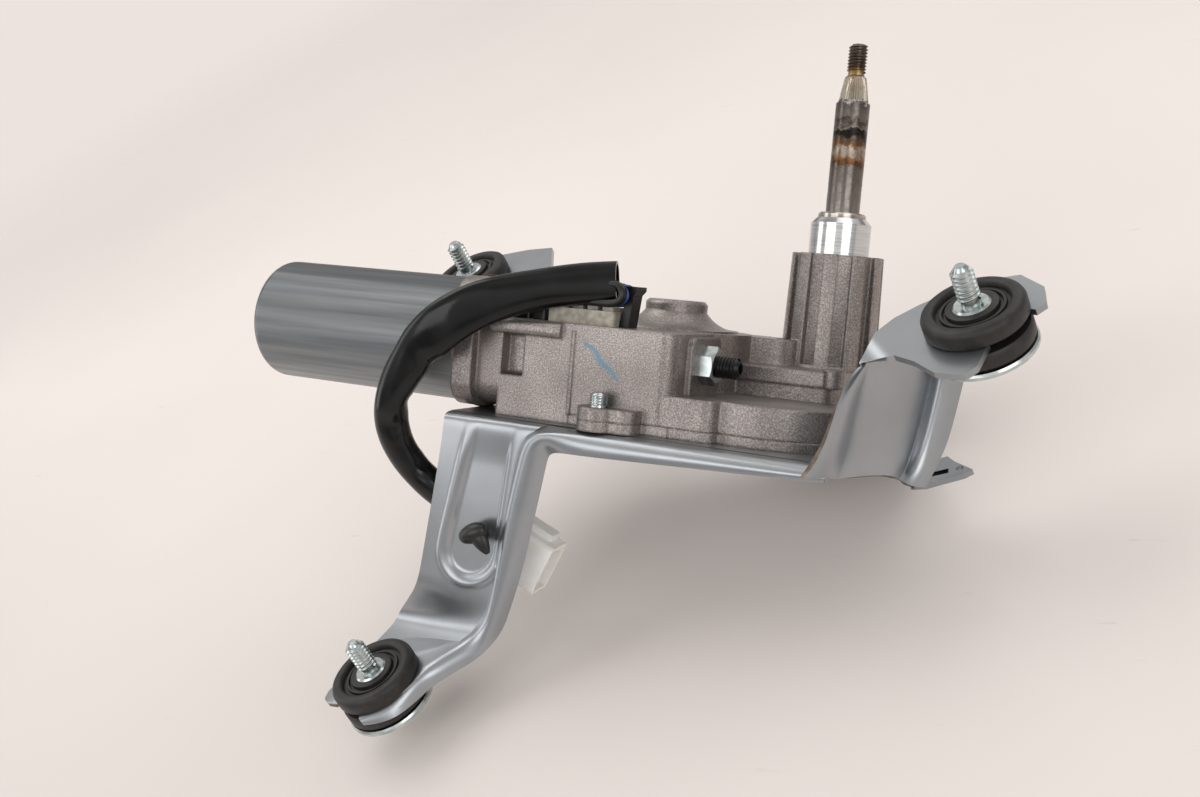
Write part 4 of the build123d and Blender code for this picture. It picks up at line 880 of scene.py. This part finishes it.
# %% Connector clip
def rounded_body(name, stations, round_steps=24):
    """A closed body through (centre, half width, half height) sections in gearbox millimetres."""
    bpy.ops.mesh.primitive_uv_sphere_add(segments=round_steps, ring_count=20, radius=1)
    piece = bpy.context.object
    piece.name = name
    centres = [Vector(station[0]) for station in stations]
    sizes = [Vector((station[1], station[2], 0)) for station in stations]
    for vertex in piece.data.vertices:
        t = (vertex.co.z + 1) / 2
        ahead = (on_curve(centres, min(t + 0.02, 1.0)) - on_curve(centres, max(t - 0.02, 0.0))).normalized()
        wide = ahead.cross(Vector((0, -1, 0))).normalized()
        deep = ahead.cross(wide)
        size = on_curve(sizes, t)
        ring = Vector((vertex.co.x, vertex.co.y))
        shape = ring.length ** -0.55 if ring.length > 1e-6 else 0.0
        vertex.co = at(*(on_curve(centres, t) + (wide * ring.x * size.x + deep * ring.y * size.y) * shape))
    return piece


clip_head = rounded_body(
    "clip_head",
    [
        ((-83.2, -77.6, -37.4), 2.5, 2.4), ((-80.4, -78.0, -35.9), 3.0, 2.7),
        ((-77.6, -78.0, -34.4), 3.1, 2.7), ((-74.6, -77.7, -33.2), 2.6, 2.4),
    ],
)
clip_barb = rounded_body(
    "clip_barb",
    [
        ((-78.6, -77.8, -33.8), 2.6, 2.3), ((-76.6, -78.2, -36.4), 3.0, 1.8),
        ((-74.9, -78.0, -38.6), 2.1, 1.4), ((-73.5, -77.6, -40.6), 1.2, 1.0),
    ],
)
clip_body = carried_over("connector_clip", "clip_body")
remove_faces(clip_body, lambda centre: in_gear(centre).y < -74.9)
clip = joined("snap_clip", [clip_head, clip_barb, clip_body])
smooth(clip, 45)
dress(clip, black_plastic, "black_plastic", "root", "connector_clip")

# %% [markdown]
# ## Mounts
# Each rubber mount is a reel with moulded rings in its top. A plated stud with a rolled
# thread stands in the middle. A 6 mm stud has a pitch of 1 mm; here it is 1.25 mm, coarser.

# %% Rubber mounts and studs
mounts = {"right": (0, 0, 0), "front": (-177.1, -92.0, -48.7), "back": (-186.8, 38.2, 11.1)}
reel = [
    (5.0, -0.5), (6.4, -0.4), (6.9, -0.7), (7.1, -1.9), (7.7, -2.0), (7.9, -1.3), (8.6, -1.3), (8.8, -2.0),
    (9.7, -2.0), (10.0, -0.7), (10.5, -0.3), (11.4, -0.2), (12.4, -0.4), (13.2, -1.0), (13.6, -1.9), (13.6, -5.0),
    (13.1, -5.6), (7.5, -5.6), (7.4, -5.8), (7.4, -7.6), (7.5, -7.8), (13.1, -7.8), (13.6, -8.4), (13.6, -11.8),
    (13.2, -12.5), (12.4, -12.8), (5.0, -12.8),
]
stud = [
    (0.001, -17.9), (4.6, -17.9), (5.2, -17.2), (5.2, -14.5), (2.64, -14.5), (2.64, 0.0), (2.5, 0.4),
    (2.5, 9.3), (2.3, 10.2), (1.4, 11.3), (0.001, 11.4),
]
up, right = Vector((0, 0, 1)), Vector((1, 0, 0))
stud_core_radius, stud_crest_radius, stud_pitch, stud_turns = 2.5, 3.0, 1.25, 7
studs = []
for name, place in mounts.items():
    rings = turned("mount_rubber_" + name, reel, place, up, right, 96)
    smooth(rings, 40)
    dress(rings, rubber, "rubber", "root", "grommet_" + name)
    core = turned("stud_core", stud, place, up, right, 48)
    winding = thread(
        "stud_thread", Vector(place) + up * 0.6, up, right,
        stud_core_radius, stud_crest_radius, stud_pitch, stud_turns,
    )
    studs += [core, winding]
studs = joined("threaded_studs", studs)
smooth(studs, 30)
dress(studs, bright_zinc, "zinc_bright", "root", "mount_studs")

# %% [markdown]
# ## Spindle
# The spindle carries the wiper arm on a knurled cone, held by a nut on the thread above. The
# knurl is cut by drawing every other line of the cone inward.

# %% Spindle
knurl_from, knurl_to, knurl_lines, knurl_depth = 104.9, 111.1, 72, 0.00034
spindle_profile = [
    (0.001, 3.4), (4.0, 3.4), (4.0, 13.4), (5.3, 13.4), (5.3, 104.1), (4.65, 104.7), (4.6, 105.0), (4.28, 107.0),
    (3.94, 109.0), (3.6, 111.0), (3.34, 112.2), (2.6, 112.9), (2.55, 113.2), (2.55, 121.4), (1.9, 122.5), (0.001, 122.6),
]
spindle_low = min(
    ((Vector(vertex.co) * 1000 - gear_origin).dot(up_spindle) for vertex in frame["nodes"]["spindle"].data.vertices),
)
spindle_profile[0], spindle_profile[1] = (0.001, spindle_low), (4.0, spindle_low)
shaft = turned("spindle_core", spindle_profile, gear_origin, up_spindle, along_motor, knurl_lines)
for vertex in shaft.data.vertices:
    offset = Vector(vertex.co) * 1000 - gear_origin
    height = offset.dot(up_spindle)
    if knurl_from < height < knurl_to:
        out = offset - up_spindle * height
        line = round(
            (Vector((out.dot(along_motor), out.dot(to_back), 0)).to_2d().angle_signed(Vector((1, 0))) + pi) / (2 * pi) * knurl_lines,
        )
        if line % 2:
            vertex.co = Vector(vertex.co) - out.normalized() * knurl_depth
winding = thread("spindle_thread", gear_origin + up_spindle * 113.4, up_spindle, along_motor, 2.55, 3.0, 1.0, 8)
spindle = joined("knurled_spindle", [shaft, winding])
smooth(spindle, 28)
dress(spindle, worn_steel, "bright_steel", "output", "spindle")

# %% [markdown]
# ## Seal and small screws
# A rusty ring of seal shows between the can and the housing. The play adjuster and the ends
# of the cover screws get threads here, because CAD leaves them as plain rods.

# %% Seal, adjuster and cover screws
motor_line = gear_origin + to_back * -50.8 + up_spindle * 20.7
seal_profile = [(19.75, -96.2), (20.6, -96.2), (21.1, -95.8), (21.1, -94.9), (19.75, -94.9)]
seal = turned("can_seal", seal_profile, motor_line, along_motor, up_spindle, 96)
smooth(seal, 40)
gasket, tree, shader = new_material("rusty_gasket", Roughness=0.75)
place = in_gearbox(tree)
blotch = add_node(tree, "ShaderNodeTexNoise", {"Vector": place.outputs[0], "Scale": 280.0, "Detail": 4.0})
tone = ramp(tree, blotch.outputs["Fac"], [(0.3, "#3a2a1c"), (0.5, "#7c5426"), (0.7, "#a3763a")])
tree.links.new(tone.outputs["Color"], shader.inputs["Base Color"])
dress(seal, gasket, "rubber", "root")
adjuster_profile = [
    (0.001, -23.6), (2.8, -23.6), (2.8, -11.0), (2.5, -10.2), (2.0, -9.7), (1.6, -9.7), (1.5, -12.2), (0.001, -12.6),
]
core = turned("adjuster_core", adjuster_profile, motor_line, along_motor, up_spindle, 48)
winding = thread("adjuster_thread", motor_line + along_motor * -19.0, along_motor, up_spindle, 2.8, 3.2, 1.0, 8)
adjuster = joined("threaded_adjuster", [core, winding])
smooth(adjuster, 30)
dress(adjuster, black_oxide, "black_steel", "root", "adjuster_screw")

cover_screws = [carried_over("bracket_screws", "cover_screws")]
for x, y in ((-43.5, -72.4), (20.5, -8.0), (-64.5, -8.0)):
    foot = gear_origin + along_motor * x + to_back * y + up_spindle * 6.7
    cover_screws.append(thread("cover_screw_thread", foot, up_spindle, along_motor, 2.5, 2.82, 0.8, 4))
cover_screws = joined("threaded_cover_screws", cover_screws)
smooth(cover_screws, 30)
dress(cover_screws, bright_zinc, "zinc_bright", "root", "bracket_screws")

# %% [markdown]
# ## Lead
# The black sleeve runs from the terminal block round the can to its connector. Its middle
# line is a smooth spline through the CAD route. The soft sleeve flattens where it leaves the
# block and creases where it bends, so its section changes along the line. Both its ends are
# held, so it is a shaped tube and not a free cord.

# %% Sleeve
route = [
    at(-47.0, -60.0, 42.7), at(-66.0, -66.0, 40.6), at(-90.5, -82.2, 30.0), at(-112.0, -78.0, 7.0),
    at(-117.5, -70.0, -13.0), at(-100.8, -60.5, -31.0), at(-86.3, -58.6, -37.4),
]


def spline(name, points, radius=0.0):
    """A NURBS curve with the given control points, in metres."""
    curve = bpy.data.curves.new(name, "CURVE")
    curve.dimensions = "3D"
    line = curve.splines.new("NURBS")
    line.points.add(len(points) - 1)
    for point, place in zip(line.points, points):
        point.co = (*place, 1.0)
    line.order_u = 3
    line.use_endpoint_u = True
    line.resolution_u = 16
    curve.bevel_depth = radius
    curve.bevel_resolution = 4
    curve.use_fill_caps = True
    piece = bpy.data.objects.new(name, curve)
    bpy.context.collection.objects.link(piece)
    return piece


guide = spline("sleeve_line", route)
guide_mesh = bpy.data.meshes.new_from_object(guide)
line_points = [Vector(vertex.co) for vertex in guide_mesh.vertices]
bpy.data.objects.remove(guide)
print(
    "sleeve points", len(line_points), "length mm",
    round(1000 * sum((b - a).length for a, b in zip(line_points, line_points[1:])), 1),
)

# Half width and half thickness of the sleeve in millimetres, and its twist in degrees
sections = [
    Vector((6.3, 4.0, 6)), Vector((6.3, 4.1, 5)), Vector((6.0, 4.4, 0)), Vector((6.7, 3.7, -4)),
    Vector((7.3, 3.1, -8)), Vector((7.4, 3.0, -8)), Vector((6.6, 3.6, -4)), Vector((5.6, 4.5, 0)),
    Vector((5.9, 4.2, 0)), Vector((5.4, 4.5, 0)), Vector((5.2, 4.6, 0)), Vector((5.0, 4.8, 0)), Vector((4.9, 4.8, 0)),
]
# Creases: place along the line, angle round it, length, width in degrees, depth in mm
creases = [
    (0.17, 60, 0.055, 50, 0.7), (0.30, 250, 0.05, 60, 0.8), (0.37, 100, 0.045, 45, 0.6), (0.47, 200, 0.03, 70, 1.2),
    (0.50, 30, 0.03, 45, 0.9), (0.60, 150, 0.03, 60, 1.0), (0.66, 220, 0.025, 50, 1.1), (0.74, 60, 0.03, 60, 0.9),
    (0.80, 190, 0.025, 55, 0.9), (0.88, 270, 0.03, 60, 0.6),
]
around, stations = 40, 170
bpy.ops.mesh.primitive_cylinder_add(vertices=around, radius=1, depth=1, end_fill_type="NOTHING")
sleeve = bpy.context.object
sleeve.name = "creased_sleeve"
apply_modifier(
    sleeve, "ARRAY", fit_type="FIXED_COUNT", count=stations, use_relative_offset=True,
    relative_offset_displace=(0, 0, 1), use_merge_vertices=True, merge_threshold=0.001,
)
lengths = [0.0]
for a, b in zip(line_points, line_points[1:]):
    lengths.append(lengths[-1] + (b - a).length)
heights = sorted({round(vertex.co.z, 2) for vertex in sleeve.data.vertices})
level = {height: index for index, height in enumerate(heights)}
frames = []
for index in range(len(heights)):
    want = lengths[-1] * index / (len(heights) - 1)
    span = max(i for i in range(len(lengths) - 1) if lengths[i] <= want + 1e-12)
    part_way = (want - lengths[span]) / max(lengths[span + 1] - lengths[span], 1e-9)
    place = line_points[span].lerp(line_points[span + 1], min(part_way, 1.0))
    before, after = line_points[max(span - 1, 0)], line_points[min(span + 2, len(line_points) - 1)]
    forward = (after - before).normalized()
    if not frames:
        wide = (camera_up - forward * camera_up.dot(forward)).normalized()
    else:
        wide = frames[-1][1]
        wide = (wide - forward * wide.dot(forward)).normalized()
    frames.append((place, wide, forward.cross(wide)))
for vertex in sleeve.data.vertices:
    index = level[round(vertex.co.z, 2)]
    t = index / (len(heights) - 1)
    angle = Vector((vertex.co.x, vertex.co.y)).angle_signed(Vector((1, 0)))
    half_width, half_thick, twist = on_curve(sections, t)
    pinch = 0.0
    for where, side, reach, width, depth in creases:
        apart = (angle * 180 / pi - side + 540) % 360 - 180
        pinch += depth * 2.718 ** (-((t - where) / reach) ** 2 - (apart / width) ** 2)
    place, wide, thin = frames[index]
    edge = 1.0 / (abs(cos(angle)) ** 2.3 + abs(sin(angle)) ** 2.3) ** (1 / 2.3)
    x = (half_width - pinch) * cos(angle) * edge
    y = (half_thick - pinch) * sin(angle) * edge
    c, s = cos(radians(twist)), sin(radians(twist))
    vertex.co = place + (wide * (x * c - y * s) + thin * (x * s + y * c)) / 1000
edit(sleeve, (bpy.ops.mesh.normals_make_consistent, {}))
apply_modifier(sleeve, "SOLIDIFY", thickness=0.0009, offset=-1)
smooth(sleeve, 60)
dress(sleeve, pvc, "pvc_sleeve", "root", "harness_tube")

# %% [markdown]
# Four wires come out of the sleeve's open end and turn back down into the terminal block.

# %% Wires
wire_blue, tree, shader = new_material("blue_wire", Roughness=0.38)
place = add_node(tree, "ShaderNodeTexCoord")
cloud = add_node(tree, "ShaderNodeTexNoise", {"Vector": place.outputs["Object"], "Scale": 300.0})
tone = ramp(tree, cloud.outputs["Fac"], [(0.3, "#1b3f86"), (0.7, "#28509c")])
tree.links.new(tone.outputs["Color"], shader.inputs["Base Color"])

for index, (across, turn_x, low) in enumerate(((-3.4, -43.6, 36.5), (-1.2, -44.2, 36.4), (1.2, -44.0, 36.5), (3.2, -43.4, 36.4))):
    y = -60.0 + across
    wire = spline(
        f"wire_{index}",
        [
            at(-60, y * 0.4 - 64 * 0.6, 41.2), at(-52, y, 42.0 - 0.3 * index), at(-46, y, 42.4 - 0.4 * index), at(turn_x, y - 0.4, 41.0),
            at(turn_x + 0.4, y - 0.6, 38.0), at(turn_x - 2.0, y - 0.6, low), at(-52, y - 0.5, low - 0.1), at(-63, y, low - 0.2),
        ],
        0.0011,
    )
    wire.data.materials.append(wire_blue if index == 2 else black_plastic)
    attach(wire, "root")
    if index == 1:
        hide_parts("harness_wires")
